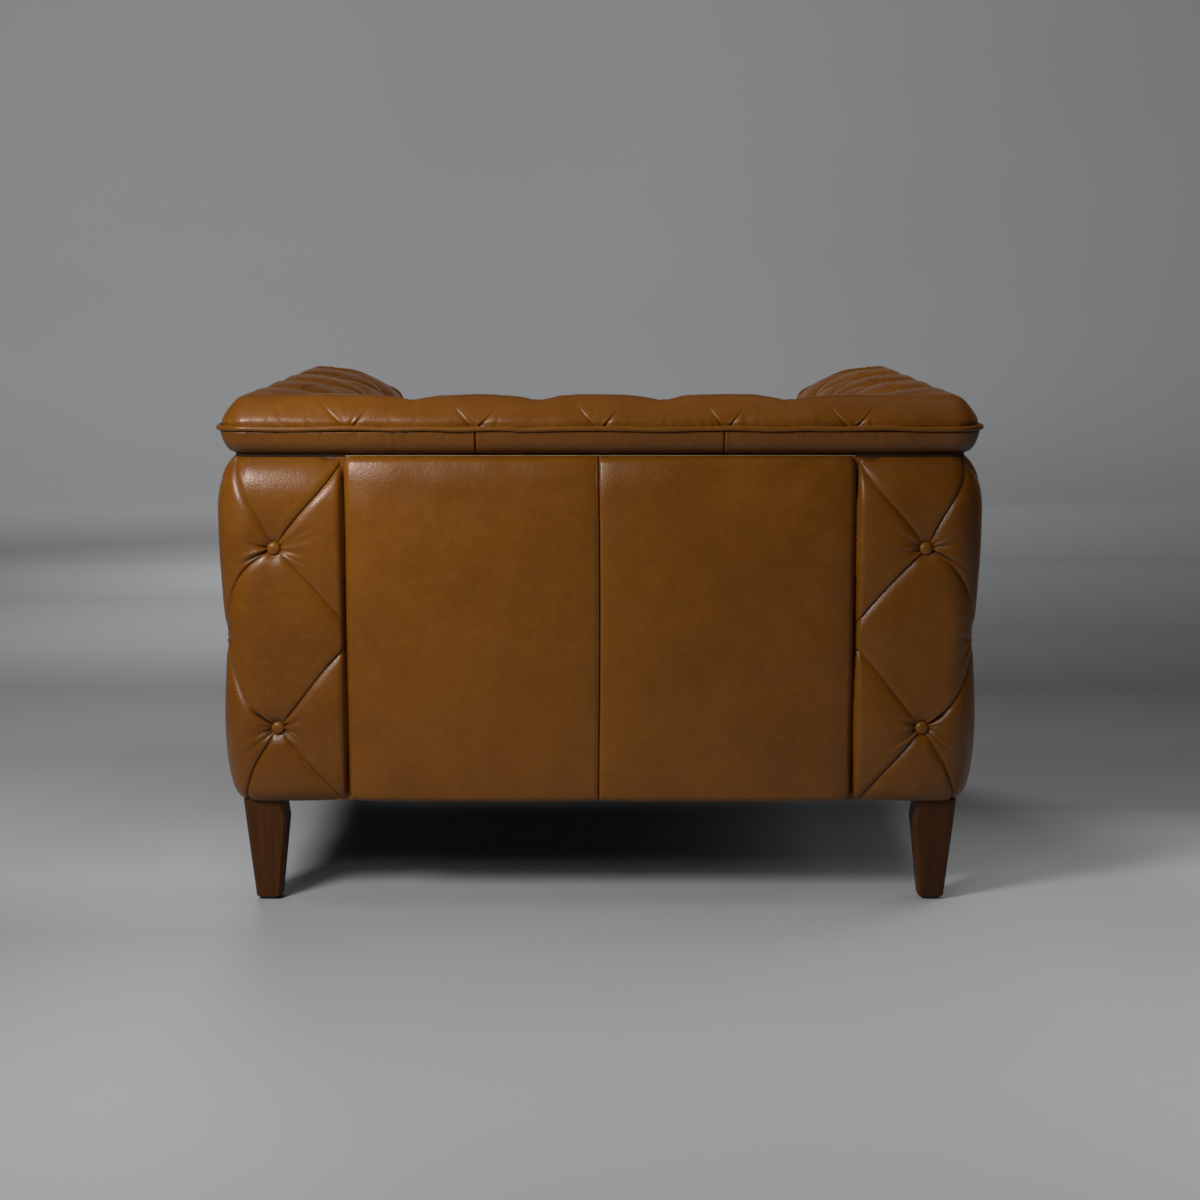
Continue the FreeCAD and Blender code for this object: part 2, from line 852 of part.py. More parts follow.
def front_cap_solid(outline_at, skin):
    """The rounded front of the arm's pad, as a loft through sections that grow to full size."""
    sections = []
    for i in range(cap_sections + 1):
        angle = math.radians(cap_start + (90 - cap_start) * i / cap_sections)
        y = front_cap * (1 - math.cos(angle)) + skin * math.cos(angle) - half_depth
        sections.append(outline_at(towards_welt(math.sin(angle))).wire(on_side(y)))
    return Part.makeLoft(sections, True, True)


def mitre_corners():
    """Two plan points on the line where the left arm's pad meets the back's, well past both
    ends. It passes through the crest lines' corner and the seat's inner corner."""
    reach = (arm_pad_reach * 1.3, back_pad_reach * 1.3)
    inner = (crest_x - reach[0], crest_y - reach[1])
    outer = (crest_x + reach[0], crest_y + reach[1])
    return inner, outer


def arm_region():
    inner, outer = mitre_corners()
    far_x, far_y = overall_width, -overall_depth
    corners = [inner, outer, (far_x, outer[1]), (far_x, far_y), (inner[0], far_y)]
    return polygon_prism(corners, 0, crest_height * 1.1)


def back_region():
    inner, outer = mitre_corners()
    corners = [inner, outer, (-outer[0], outer[1]), (-inner[0], inner[1])]
    return polygon_prism(corners, 0, crest_height * 1.1)


def arm_pad_solid():
    """The left arm's inner pad, before its dimples."""
    section = pad_outline(arm_pad_reach, pad_back_x - frame_x)
    run = side_run(section, front_cap - half_depth, crest_y)
    body = fused([run, rear_corner(corner_outline())]).common(arm_region())
    face_back = front_face_edge - frame_x
    cap = front_cap_solid(lambda squeeze: pad_outline(arm_pad_reach, face_back, squeeze), 0.0)
    facing = box(
        (front_face_edge - seat_gap, frame_x + outer_pad),
        (-half_depth, facing_back + seat_gap),
        (0, pad_base),
    )
    return biggest(fused([cap, body]).cut([facing, band_room()]))


def arm_core_solid():
    run = side_run(core_outline(arm_pad_reach), front_cap - half_depth, crest_y)
    cap = front_cap_solid(lambda squeeze: core_outline(arm_pad_reach, squeeze), leather)
    return fused([cap, run, rear_corner(corner_core_outline())])


def arm_face(past_welt):
    """A slab over all of the arm's face, up to a line that far past the middle of the welt."""
    edge, top = front_face_edge - past_welt, welt_height + past_welt
    slab = box((edge, overall_width), (-overall_depth, 0), (0, top))
    corner = [
        e for e in slab.Edges
        if all(abs(v.X - edge) < 1e-6 and abs(v.Z - top) < 1e-6 for v in e.Vertexes)
    ]
    return slab.makeFillet(welt_turn + past_welt, corner)


def band_room():
    """The space in front of the arm's rail that the pad leaves to the welt, the band and the
    outer arm."""
    under, top = under_points(), rise_points()[0]
    out = 2 * outer_pad
    outline = Outline().spline(under)
    outline.line(under[-1], *welt_room(), top, (out, top[1]), (out, frame_bottom))
    outline.line((out, frame_bottom), (0, frame_bottom), rail_step()[1], under[0])
    away = welt_radius + seat_gap
    run = front_run(outline, front_face_edge - away, crest_x)
    behind_turn = box(
        (front_face_edge - away, front_face_edge + welt_turn),
        (-frame_y - out, -frame_y - welt_out + away),
        (frame_bottom, top[1]),
    )
    return fused([run, front_corner(outline), behind_turn]).common(arm_face(away))


def back_pad_solid():
    section = pad_outline(back_pad_reach, pad_back_y - frame_y)
    corner = rear_corner(corner_outline())
    body = fused([rear_run(section, -crest_x, crest_x), corner, flip_x(corner)])
    return biggest(body.common(back_region()))


def back_core_solid():
    corner = rear_corner(corner_core_outline())
    run = rear_run(core_outline(back_pad_reach), -crest_x, crest_x)
    return fused([run, corner, flip_x(corner)])


def leather_line(reach):
    """Edges of the pad's leather from the welt over the crest and down, in the (n, z) plane."""
    place = lambda n, z: V(n, 0, z)
    roll = roll_points(reach)
    open_line = Outline().spline(rise_points(), start=(0, 1), end=(-1, 0))
    open_line.spline(roll, start=(-1, 0), end=(0, -1)).line(roll[-1], (roll[-1][0], pad_foot))
    return open_line.wire(place).Edges


def line_spot(edges, distance):
    """The (n, z) point at a distance along the edges, and the way out of the leather there."""
    for edge in edges:
        if distance <= edge.Length:
            at = edge.getParameterByLength(distance)
            tangent = edge.tangentAt(at)
            point = edge.valueAt(at)
            return (point.x, point.z), (tangent.z, -tangent.x)
        distance -= edge.Length
    raise ValueError("the row of buttons lies past the end of the leather")


def pad_tufts(reach, pad_back, columns, place, turn):
    """(point, way out, length of twine) for each button. columns gives the places along the
    pad for each row. The twine ends in a knot inside the padding."""
    edges = leather_line(reach)
    tufts = []
    for row in range(tuft_rows):
        (n, z), (wn, wz) = line_spot(edges, tuft_first_row + row * tuft_row_pitch)
        to_back = (n - pad_back) / wn
        to_base = (z - pad_base) / wz if z > pad_base and wz > 0 else 0.0
        twine = max(to_back, to_base) - tuft_depth - twine_end
        for along in columns(row, -frame_corner_radius - n):
            tufts.append((place(along)(n, z), turn(wn, wz), twine))
    return tufts


def back_columns(row, inward):
    """x of the buttons in one row of the back. Odd and even rows are half a pitch apart."""
    limit = crest_x - inward * arm_pad_reach / back_pad_reach - tuft_edge_margin
    first = 0.0 if row % 2 else tuft_pitch / 2
    steps = [first + i * tuft_pitch for i in range(int(crest_x / tuft_pitch) + 1)]
    fitting = [x for x in steps if x <= limit]
    return sorted({-x for x in fitting} | set(fitting))


def arm_columns(row, inward):
    """y of the buttons in one row of the left arm, from the rear corner forwards."""
    corner_fold = crest_y - (crest_x - 2 * tuft_pitch)
    first = corner_fold if row % 2 else corner_fold - tuft_pitch / 2
    rear_limit = crest_y - inward * back_pad_reach / arm_pad_reach - tuft_edge_margin
    front_limit = front_cap - half_depth
    steps = [first - i * tuft_pitch for i in range(int(overall_depth / tuft_pitch) + 1)]
    return [y for y in steps if front_limit <= y <= rear_limit]


def save_inner_pads():
    arm_back, back_back = pad_back_x - frame_x, pad_back_y - frame_y
    arm_tufts = pad_tufts(
        arm_pad_reach, arm_back, arm_columns, on_side, lambda n, z: V(n, 0, z)
    )
    back_tufts = pad_tufts(
        back_pad_reach, back_back, back_columns, on_rear, lambda n, z: V(0, n, z)
    )

    cover, foam = tufted(arm_pad_solid(), arm_core_solid(), arm_tufts, tuft_depth)
    for side, cover_half, foam_half in zip(("left", "right"), both_sides(cover), both_sides(foam)):
        save(f"inner_arm_cover_{side}", [cover_half])
        save(f"inner_arm_foam_{side}", [foam_half])
    buttons = [button(*tuft, tuft_depth) for tuft in arm_tufts]
    save("inner_arm_buttons", buttons + [flip_x(b) for b in buttons])

    cover, foam = tufted(back_pad_solid(), back_core_solid(), back_tufts, tuft_depth)
    save("inner_back_cover", [cover])
    save("inner_back_foam", [foam])
    save("inner_back_buttons", [button(*tuft, tuft_depth) for tuft in back_tufts])


# ---- band and welt under the pads ---------------------------------------------------------------
def band_outline():
    outer = band_points()
    inner = inset(outer, leather)
    return Outline().spline(outer).line(outer[-1], inner[-1]).spline(inner[::-1]).line(inner[0], outer[0])


def save_band():
    outline = band_outline()
    front = front_run(outline, front_face_edge, crest_x).common(arm_face(-welt_radius - seat_gap))
    side = fused([
        rear_run(outline, band_seam + band_seam_gap, crest_x),
        rear_corner(outline),
        side_run(outline, -crest_y, crest_y),
        front_corner(outline),
        front,
    ])
    middle = rear_run(outline, -band_seam, band_seam)
    save("top_band", both_sides(side) + [middle])


def welt_half():
    """The left half of the welt: up the inner edge of the arm's face, over its top, back along
    the side and round to the middle of the rear."""
    out = frame_y + welt_out
    turn_x, turn_z = front_face_edge + welt_turn, welt_height - welt_turn

    def disc(centre, normal):
        return Part.Face(Part.Wire(Part.makeCircle(welt_radius, centre, normal)))

    upright = disc(V(front_face_edge, -out, underside_height), UP).extrude(
        V(0, 0, turn_z - underside_height)
    )
    turn = disc(V(front_face_edge, -out, turn_z), UP).revolve(
        V(turn_x, -out, turn_z), V(0, 1, 0), 90
    )
    front = disc(V(turn_x, -out, welt_height), V(1, 0, 0)).extrude(V(crest_x - turn_x, 0, 0))
    front_bend = disc(V(crest_x, -out, welt_height), V(1, 0, 0)).revolve(
        V(crest_x, -crest_y, 0), UP, 90
    )
    side_x = frame_x + welt_out
    side = disc(V(side_x, -crest_y, welt_height), V(0, 1, 0)).extrude(V(0, 2 * crest_y, 0))
    rear_bend = disc(V(side_x, crest_y, welt_height), V(0, 1, 0)).revolve(
        V(crest_x, crest_y, 0), UP, 90
    )
    rear = disc(V(0, out, welt_height), V(1, 0, 0)).extrude(V(crest_x, 0, 0))
    return fused([upright, turn, front, front_bend, side, rear_bend, rear])


def save_welt():
    half = welt_half()
    save("top_welt", [fused([half, flip_x(half)])])


# ---- outside back panel and front border ----------------------------------------------------------
def plump_panel(x, y, z, radius, outward):
    """A box whose edges on its outer y face are rounded."""
    block = box(x, y, z)
    face_y = y[1] if outward > 0 else y[0]
    edges = [
        edge for edge in block.Edges
        if all(abs(vertex.Point.y - face_y) < 1e-6 for vertex in edge.Vertexes)
    ]
    return block.makeFillet(radius, edges)


def save_outside_back():
    half = rear_face_edge - back_panel_gap
    z = (underside_height + back_panel_rise, neck_height - back_panel_gap)
    y = (frame_y + seat_gap, frame_y + back_panel_pad)
    outside = plump_panel((-half, half), y, z, back_panel_round, 1)
    inside = plump_panel(
        grown((-half, half), -leather),
        (y[0], y[1] - leather),
        grown(z, -leather),
        back_panel_round - leather,
        1,
    )
    save("outside_back_cover", [outside.cut(inside)])
    save("outside_back_foam", [inside])


def save_front_border():
    half = front_face_edge - welt_radius - border_end_gap
    z = (underside_height, deck_height - border_drop)
    y = (-frame_y - border_pad, -frame_y - seat_gap)
    outside = plump_panel((-half, half), y, z, border_round, -1)
    inside = plump_panel(
        grown((-half, half), -leather),
        (y[0] + leather, y[1]),
        grown(z, -leather),
        border_round - leather,
        -1,
    )
    hem = box((-half, half), (y[1] - 1, -frame_y + hem_width), (underside_height, frame_bottom))
    save("front_border_cover", [biggest(outside.cut(inside).fuse(hem).removeSplitter())])
    save("front_border_foam", [inside])


# ---- suspension ------------------------------------------------------------------------------------
spring_front = facing_back - board / 2
spring_rear = back_inner_y + stick / 2


def spring(x):
    """A zigzag spring: straight bars across, joined by half-round bends, from the clip on the
    front rail to the clip on the rear rail."""
    bars = 2 * round((spring_rear - spring_front) / (4 * spring_bend)) + 1
    bend = (spring_rear - spring_front) / (2 * (bars - 1))
    reach = spring_half_width - bend
    pieces = []
    for i in range(bars):
        y = spring_front + 2 * bend * i
        way = 1 if i % 2 == 0 else -1
        start = V(x - reach, y, spring_z)
        pieces.append(Part.makeCylinder(spring_wire, 2 * reach, start, V(1, 0, 0)))
        if i < bars - 1:
            end = V(x + way * reach, y, spring_z)
            disc = Part.Face(Part.Wire(Part.makeCircle(spring_wire, end, V(1, 0, 0))))
            pieces.append(disc.revolve(end + V(0, bend, 0), UP, way * 180))
    return pieces[0].multiFuse(pieces[1:])


def spring_clip(x, y, way):
    """A steel clip: a foot on the rail and a curl round the spring's end bar."""
    inner = spring_wire + seat_gap
    base = V(x - clip_width / 2, y, spring_z)
    curl = Part.makeCylinder(inner + clip_wall, clip_width, base, V(1, 0, 0))
    hole = Part.makeCylinder(inner, clip_width, base, V(1, 0, 0))
    foot_y = sorted((y, y + way * clip_foot / 2))
    foot = box(
        (x - clip_width / 2, x + clip_width / 2), foot_y, (seat_rail_top, seat_rail_top + clip_wall)
    )
    return foot.fuse(curl).cut(hole)


def deck_sheet(rear, z):
    """A sheet over the springs, notched round the two facing boards."""
    half = arm_inner_x - deck_side_gap
    sheet = box((-half, half), (-frame_y + deck_side_gap, rear), z)
    notch_x = (front_face_edge - seat_gap, arm_inner_x)
    notch = box(notch_x, (-frame_y, facing_back + seat_gap), z)
    return sheet.cut(both_sides(notch))


def save_suspension():
    half = (spring_count - 1) / 2
    places = [(i - half) * spring_spacing for i in range(spring_count)]
    one = spring(0)
    save("seat_springs", [one.translated(V(x, 0, 0)) for x in places])
    clips = [spring_clip(x, spring_front, -1) for x in places]
    clips += [spring_clip(x, spring_rear, 1) for x in places]
    save("spring_clips", clips)
    save("seat_hessian", [deck_sheet(back_inner_y + stick, (hessian_low, hessian_top))])
    save("seat_deck_pad", [deck_sheet(pad_back_y, (hessian_top, deck_height))])


def straps(first, last, thin, z, along_x):
    """Upright webbing straps, evenly spread between first and last."""
    found = []
    for i in range(webbing_straps):
        middle = first + (last - first) * (i + 0.5) / webbing_straps
        wide = (middle - webbing_width / 2, middle + webbing_width / 2)
        found.append(box(wide, thin, z) if along_x else box(thin, wide, z))
    return found


def save_webbing():
    z = (deck_height + tack_rail_lift + webbing_margin / 2, top_rail_top - webbing_margin / 2)
    y = (facing_back + webbing_margin, back_inner_y - webbing_margin)
    thin_x = (arm_inner_x - webbing_thickness, arm_inner_x)
    left = straps(y[0], y[1], thin_x, z, False)
    save("arm_webbing_left", left)
    save("arm_webbing_right", [flip_x(s) for s in left])
    half = arm_inner_x - webbing_margin
    thin_y = (back_inner_y - webbing_thickness, back_inner_y)
    save("back_webbing", straps(-half, half, thin_y, z, True))


# ---- dust cover ---------------------------------------------------------------------------------------
def save_dust_cover():
    z = (underside_height - dust_cover_thickness, underside_height)
    x = (-frame_x + dust_cover_inset, frame_x - dust_cover_inset)
    y = (-frame_y + dust_cover_inset, frame_y - dust_cover_inset)
    sheet = box(x, y, z)
    room = leg_top + leg_knee_out + dust_cover_leg_gap
    notch = box((frame_x - room, frame_x), (frame_y - room, frame_y), z)
    save("dust_cover", [sheet.cut(all_corners(notch))])
    low = z[0] - 2 * staple_wire
    half = (x[1] - room) // staple_spacing
    places = [i * staple_spacing for i in range(-int(half) + 1, int(half))]
    edge = y[1] - 2 * staple_wire
    bars = [
        box((p - staple_crown / 2, p + staple_crown / 2), (edge - 2 * staple_wire, edge), (low, z[0]))
        for p in places
    ]
    save("dust_cover_staples", bars + [flip_y(b) for b in bars])


# ---- loose seat cushion ---------------------------------------------------------------------------------
cushion_x = seat_x - cushion_side_gap - welt_radius
cushion_rear = seat_y - cushion_side_gap - welt_radius
cushion_front = -half_depth + cushion_front_inset
cushion_low = deck_height + seat_gap
cushion_edge_height = cushion_low + cushion_boxing
zip_height = cushion_low + zip_rise


def cushion_solid(skin):
    """The cushion's body with its crowned top, moved in by the leather for its foam."""
    x = grown((-cushion_x, cushion_x), -skin)
    y = grown((cushion_front, cushion_rear), -skin)
    corner = cushion_corner - skin
    low, edge = cushion_low + skin, cushion_edge_height - skin
    body = rounded_prism(x, y, corner, (low, edge))
    sections = []
    for i in range(crown_steps + 1):
        angle = math.pi / 2 * i / crown_steps
        back = crown_reach * (1 - math.cos(angle))
        z = edge + cushion_crown * math.sin(angle)
        sections.append(rounded_plan(grown(x, -back), grown(y, -back), corner, z))
    return body.fuse(Part.makeLoft(sections, True, True)).removeSplitter()


def cushion_welt(radius, z):
    """A ring of piping round the cushion's edge."""
    x, y = (-cushion_x, cushion_x), (cushion_front, cushion_rear)
    path = rounded_plan(x, y, cushion_corner, z)
    start = V(x[0] + cushion_corner, y[0], z)
    ring = Part.Wire(Part.makeCircle(radius, start, V(1, 0, 0)))
    return path.makePipeShell([ring], True, False)


def zip_bed():
    """The shallow channel in the rear boxing that holds the zip."""
    half, tall = zip_length / 2 + zip_end_stop, zip_tape_width / 2
    z = (zip_height - tall, zip_height + tall)
    return box((-half, half), (cushion_rear - zip_tape_depth, cushion_rear + 1), z)


def zip_parts():
    half, tall = zip_length / 2 + zip_end_stop, zip_tape_width / 2
    back = cushion_rear - zip_tape_depth
    tape_y = (back, back + zip_tape_thickness)
    tape = box((-half, half), tape_y, (zip_height - tall, zip_height + tall))
    chain_y = (tape_y[1], tape_y[1] + zip_chain_thickness)
    chain_z = grown((zip_height, zip_height), zip_chain_width / 2)
    chain = box((-zip_length / 2, zip_length / 2), chain_y, chain_z)
    stops = [
        box((x, x + zip_end_stop), chain_y, grown(chain_z, 2))
        for x in (-zip_length / 2 - zip_end_stop, zip_length / 2)
    ]
    return fused([tape, chain] + stops), chain_y, chain_z


def zip_slider():
    """The slider at the closed end of the zip, riding over the chain, with its pull."""
    _, chain_y, chain_z = zip_parts()
    x0 = -zip_length / 2 + slider_gap
    x = (x0, x0 + slider_length)
    y = (chain_y[0] + slider_gap, chain_y[1] + slider_gap + slider_roof)
    body = box(x, y, grown((zip_height, zip_height), slider_width / 2))
    channel = box(x, (chain_y[0], chain_y[1] + slider_gap), grown(chain_z, slider_gap))
    middle = (x[0] + x[1]) / 2
    pull_y = (cushion_rear + slider_gap, cushion_rear + slider_gap + pull_thickness)
    pull = box(
        (middle - pull_width / 2, middle + pull_width / 2),
        pull_y,
        (zip_height - pull_length, zip_height + slider_width / 4),
    )
    neck = box(
        (middle - pull_width / 2, middle + pull_width / 2),
        (y[1], pull_y[1]),
        (zip_height - slider_width / 4, zip_height + slider_width / 4),
    )
    return fused([body.cut(channel), neck, pull])


def save_cushion():
    low_z = cushion_low + welt_radius
    tubes = [cushion_welt(welt_radius, z) for z in (low_z, cushion_edge_height)]
    grooves = [cushion_welt(welt_radius + 0.1, z) for z in (low_z, cushion_edge_height)]
    foam = cushion_solid(leather).cut(zip_bed())
    foam = foam.cut(grooves)
    cover = cushion_solid(0.0).cut(cushion_solid(leather)).cut(zip_bed()).cut(grooves)
    save("seat_cushion_cover", [cover])
    save("seat_cushion_foam", [biggest(foam)])
    save("seat_cushion_welts", tubes)
    save("seat_cushion_zip", [zip_parts()[0]])
    save("zip_slider", [zip_slider()])


# ---- the whole chair ----------------------------------------------------------------------------------------
def main():
    save_frame()
    save_legs()
    save_outer_arms()
    save_inner_pads()
    save_band()
    save_welt()
    save_outside_back()
    save_front_border()
    save_suspension()
    save_webbing()
    save_dust_cover()
    save_cushion()


main()
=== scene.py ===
import json
import math
from contextlib import contextmanager

import bmesh
import bpy
import numpy as np
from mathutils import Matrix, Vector
from mathutils.bvhtree import BVHTree


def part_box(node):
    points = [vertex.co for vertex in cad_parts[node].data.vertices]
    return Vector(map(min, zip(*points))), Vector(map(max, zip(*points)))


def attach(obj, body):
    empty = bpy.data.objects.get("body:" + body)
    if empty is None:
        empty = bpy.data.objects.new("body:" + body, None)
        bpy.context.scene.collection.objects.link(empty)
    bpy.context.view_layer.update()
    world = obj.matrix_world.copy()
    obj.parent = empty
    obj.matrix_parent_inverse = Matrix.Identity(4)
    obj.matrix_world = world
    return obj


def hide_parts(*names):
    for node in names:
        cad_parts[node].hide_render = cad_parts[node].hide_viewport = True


# A low-backed chesterfield armchair in tan leather. The frame gives every place: the outlines of
# the tufted pads are read off its covers, and the leather is built over them. Metres.

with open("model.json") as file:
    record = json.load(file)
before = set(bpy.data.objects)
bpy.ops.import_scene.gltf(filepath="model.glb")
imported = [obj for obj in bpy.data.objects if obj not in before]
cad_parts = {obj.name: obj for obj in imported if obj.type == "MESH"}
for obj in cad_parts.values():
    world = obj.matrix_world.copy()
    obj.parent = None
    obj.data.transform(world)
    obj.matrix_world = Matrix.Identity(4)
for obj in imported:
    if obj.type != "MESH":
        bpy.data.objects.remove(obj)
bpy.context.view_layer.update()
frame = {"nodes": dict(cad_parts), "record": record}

# ---- places taken from the frame's own layout ----
FRAME_X, FRAME_Y = 0.503, 0.408         # the timber frame's outer faces
CREST_X, CREST_Y = 0.480, 0.385         # the crest lines of arms and back
CORNER = 0.023                          # from the crest line to the frame's outer face
OUTER_CORNER = 0.051                    # radius of the outer leather at the rear corners
PAD_CORNER = 0.046                      # radius of the inner pads' edge at the rear corners
HEM, NECK, WELT_Z = 0.150, 0.640, 0.675
WELT_OUT, WELT_RADIUS, WELT_TURN = 0.023, 0.004, 0.022
FACE_EDGE = 0.350                       # |x| of the upright welt on the arm's face
REAR_EDGE = 0.354                       # |x| where the outer arm meets the outside back panel
PAD_FOOT = 0.2903
WELT_TUCK = 0.003                       # how far the pads' leather is tucked down behind the welt
OVER_WELT = 0.6790                      # the inner pads' outlines are read from this height up
OUTLINE_STEP, OUTLINE_PASSES = 0.001, 30  # spacing of an outline's points, and how often smoothed
CAP_START, CAP_DEPTH = -0.386, 0.048    # where an arm begins to round off at its front
CAP_LENGTH = 0.066                      # the leather's length over that rounding
MITRE = (0.167, 0.190)                  # run of the line where arm and back pads meet, in plan

# ---- tufting ----
OUTER_STEP, OUTER_START = 0.0992, -0.031
OUTER_ROWS = (0.257, 0.3835, 0.510)
OUTER_DEPTH = 0.012
INNER_STEP = 0.086
ARM_COLUMN = 0.249                      # y of an arm's column 0, where the lattice turns the corner
INNER_ROWS = (-0.011, 0.100, 0.222, 0.344, 0.466)
INNER_DEPTH = 0.016
BUTTON_RADIUS, BUTTON_HEIGHT = 0.009, 0.0055
CELL_GRID = 56                          # quads along a diamond's side
CELL_CLUSTER = 0.84                     # how much they crowd towards the folds
FOLD_STRAY = 0.0025                     # how far a fold may stray from its line
ROWS_BEFORE, ROWS_AFTER = 0.111, 0.122  # spacing of the inner rows that no button holds
SHARP_FOLD = 250.0                      # curvature, per metre, that counts as fully hollow
WAVES = 7                               # waves that add up to a gentle unevenness


def bend(values, low, high):
    """0 up to low, 1 from high on, and in between a ramp."""
    return np.clip((values - low) / (high - low), 0.0, 1.0)


def unit(vectors):
    """Vectors scaled to length 1."""
    return vectors / np.maximum(np.linalg.norm(vectors, axis=-1, keepdims=True), 1e-12)


def round_off(share):
    """A quarter circle's fall, from 0 at share 0 to 1 at share 1."""
    return 1 - np.sqrt(np.maximum(1 - share**2, 0.0))


def plump(gap, reach):
    """Share of a pad's thickness lost at a distance from its edge."""
    return (1 - np.clip(gap / reach, 0, 1)) ** 2


def hump(offset, width):
    """A soft bump of height 1 round offset 0."""
    return np.exp(-((offset / width) ** 2))


# ---- meshes and objects ----
def new_mesh(name, points, faces):
    mesh = bpy.data.meshes.new(name)
    mesh.from_pydata(points, [], faces)
    return mesh


def new_object(name, data):
    obj = bpy.data.objects.new(name, data)
    bpy.context.scene.collection.objects.link(obj)
    return obj


@contextmanager
def editing(mesh):
    """A mesh's bmesh, written back at the end."""
    bm = bmesh.new()
    bm.from_mesh(mesh)
    yield bm
    bm.to_mesh(mesh)
    bm.free()


def grid_quads(index):
    """The quads between neighbours in a grid of vertex numbers."""
    ring = [index[:-1, :-1], index[1:, :-1], index[1:, 1:], index[:-1, 1:]]
    return np.stack([r.ravel() for r in ring], axis=1)


def ring_quads(rings, spokes, start=0):
    """The quads between closed rings of spokes vertices each, one after another."""
    faces = []
    for ring in range(rings - 1):
        for k in range(spokes):
            a = start + ring * spokes + k
            b = start + ring * spokes + (k + 1) % spokes
            faces.append((a, b, b + spokes, a + spokes))
    return faces


# ---- outlines read from the frame's covers ----
def surface_tree(node):
    """A node's surface, for casting rays at it."""
    mesh = frame["nodes"][node].data
    corners = [v.co.copy() for v in mesh.vertices]
    return BVHTree.FromPolygons(corners, [tuple(p.vertices) for p in mesh.polygons])


def star_outline(node, centre, across, first, last):
    """The (n, z) outline of a cover in the plane through centre, seen from centre outwards."""
    tree = surface_tree(node)
    crest = Vector((CREST_X, CREST_Y, 0)).dot(across)
    spots = []
    for turn in np.radians(np.linspace(first, last, 500)):
        way = across * math.cos(turn) + Vector((0, 0, math.sin(turn)))
        hit = tree.ray_cast(centre + way, -way)[0]
        if hit is not None:
            spots.append((hit.dot(across) - crest - CORNER, hit.z))
    return np.array(spots)


class Outline:
    """A section of a pad, by arc length from its start: place (n, z) and way out."""

    def __init__(self, spots, start):
        gaps = np.linalg.norm(np.diff(spots, axis=0), axis=1)
        along = start + np.concatenate([[0.0], np.cumsum(gaps)])
        self.length = along[-1]
        self.t = np.linspace(start, self.length, int(self.length / OUTLINE_STEP) + 1)
        line = np.stack([np.interp(self.t, along, spots[:, k]) for k in (0, 1)], axis=1)
        for _ in range(OUTLINE_PASSES):
            line[1:-1] = (line[:-2] + 2 * line[1:-1] + line[2:]) / 4
        self.line = line
        run = unit(np.gradient(line, axis=0))
        self.out = np.stack([run[:, 1], -run[:, 0]], axis=1)

    def at(self, t):
        """n, z and the way out (wn, wz) at each t."""
        t = np.clip(t, self.t[0], self.length)
        columns = [self.line[:, 0], self.line[:, 1], self.out[:, 0], self.out[:, 1]]
        return [np.interp(t, self.t, column) for column in columns]


def pad_outline(node, centre, across):
    """An inner pad's outline from just over the welt, over the crest and down to its foot."""
    spots = star_outline(node, centre, across, 35, 245)
    crest = int(np.argmax(spots[:, 1]))
    keep = (spots[:, 1] > OVER_WELT) | (np.arange(len(spots)) > crest)
    spots = spots[keep & (spots[:, 1] > PAD_FOOT + 0.002)]
    foot = np.array([[spots[-1, 0], PAD_FOOT]])
    tuck = spots[:1] - np.array([[0.0005, WELT_TUCK]])
    return Outline(np.concatenate([tuck, spots, foot]), -WELT_TUCK)


def side_outline(node, y, heights):
    """(n, z) of a cover on the sitter's left, read at one y and at given heights."""
    tree = surface_tree(node)
    hits = [tree.ray_cast(Vector((1.0, y, z)), Vector((-1, 0, 0)))[0] for z in heights]
    return np.array([(hit.x - FRAME_X, z) for hit, z in zip(hits, heights)])


def wall_outline():
    """The outer arm's outline from hem to neck, fuller at its foot and at half height."""
    heights = np.linspace(HEM + 0.0005, NECK - 0.0005, 246)
    line = side_outline("outer_arm_cover_left", 0.0497, heights)
    line[:, 0] += 0.004 * (1 - bend(line[:, 1], HEM, HEM + 0.026))
    line[:, 0] += 0.003 * hump(line[:, 1] - 0.40, 0.05)
    return line


back_line = pad_outline("inner_back_cover", Vector((0.043, 0.315, 0.56)), Vector((0, 1, 0)))
arm_line = pad_outline("inner_arm_cover_left", Vector((0.415, 0.120, 0.56)), Vector((1, 0, 0)))
wall_line = wall_outline()
band_line = side_outline("top_band", 0.05, np.linspace(NECK + 0.0003, NECK + 0.0300, 40))


# ---- carrying a flat sheet (s, t, depth) on to the chair ----
def turned(angle):
    """The way out at an angle from +Y towards +X."""
    return np.sin(angle), np.cos(angle)


def on_back(s, t, depth):
    """The back's inner pad: s is x, and past the crest line's end it turns the corner."""
    n, z, wn, wz = back_line.at(t)
    angle = np.sign(s) * np.maximum(np.abs(s) - CREST_X, 0.0) / PAD_CORNER
    wx, wy = turned(angle)
    slant = near_mitre(back_limit(t) - np.abs(s)) * MITRE[0] / MITRE[1]
    x = np.clip(s, -CREST_X, CREST_X) + np.sign(s) * slant * np.maximum(-wn * depth, 0.0)
    n, z = n - wn * depth, z - wz * depth
    return np.stack([x + (CORNER + n) * wx, CREST_Y + (CORNER + n) * wy, z], axis=1)


def near_mitre(gap):
    """How much a point keeps to the plane where arm and back pads meet, as it sinks in."""
    return 1 - bend(gap, 0.0, 0.05)


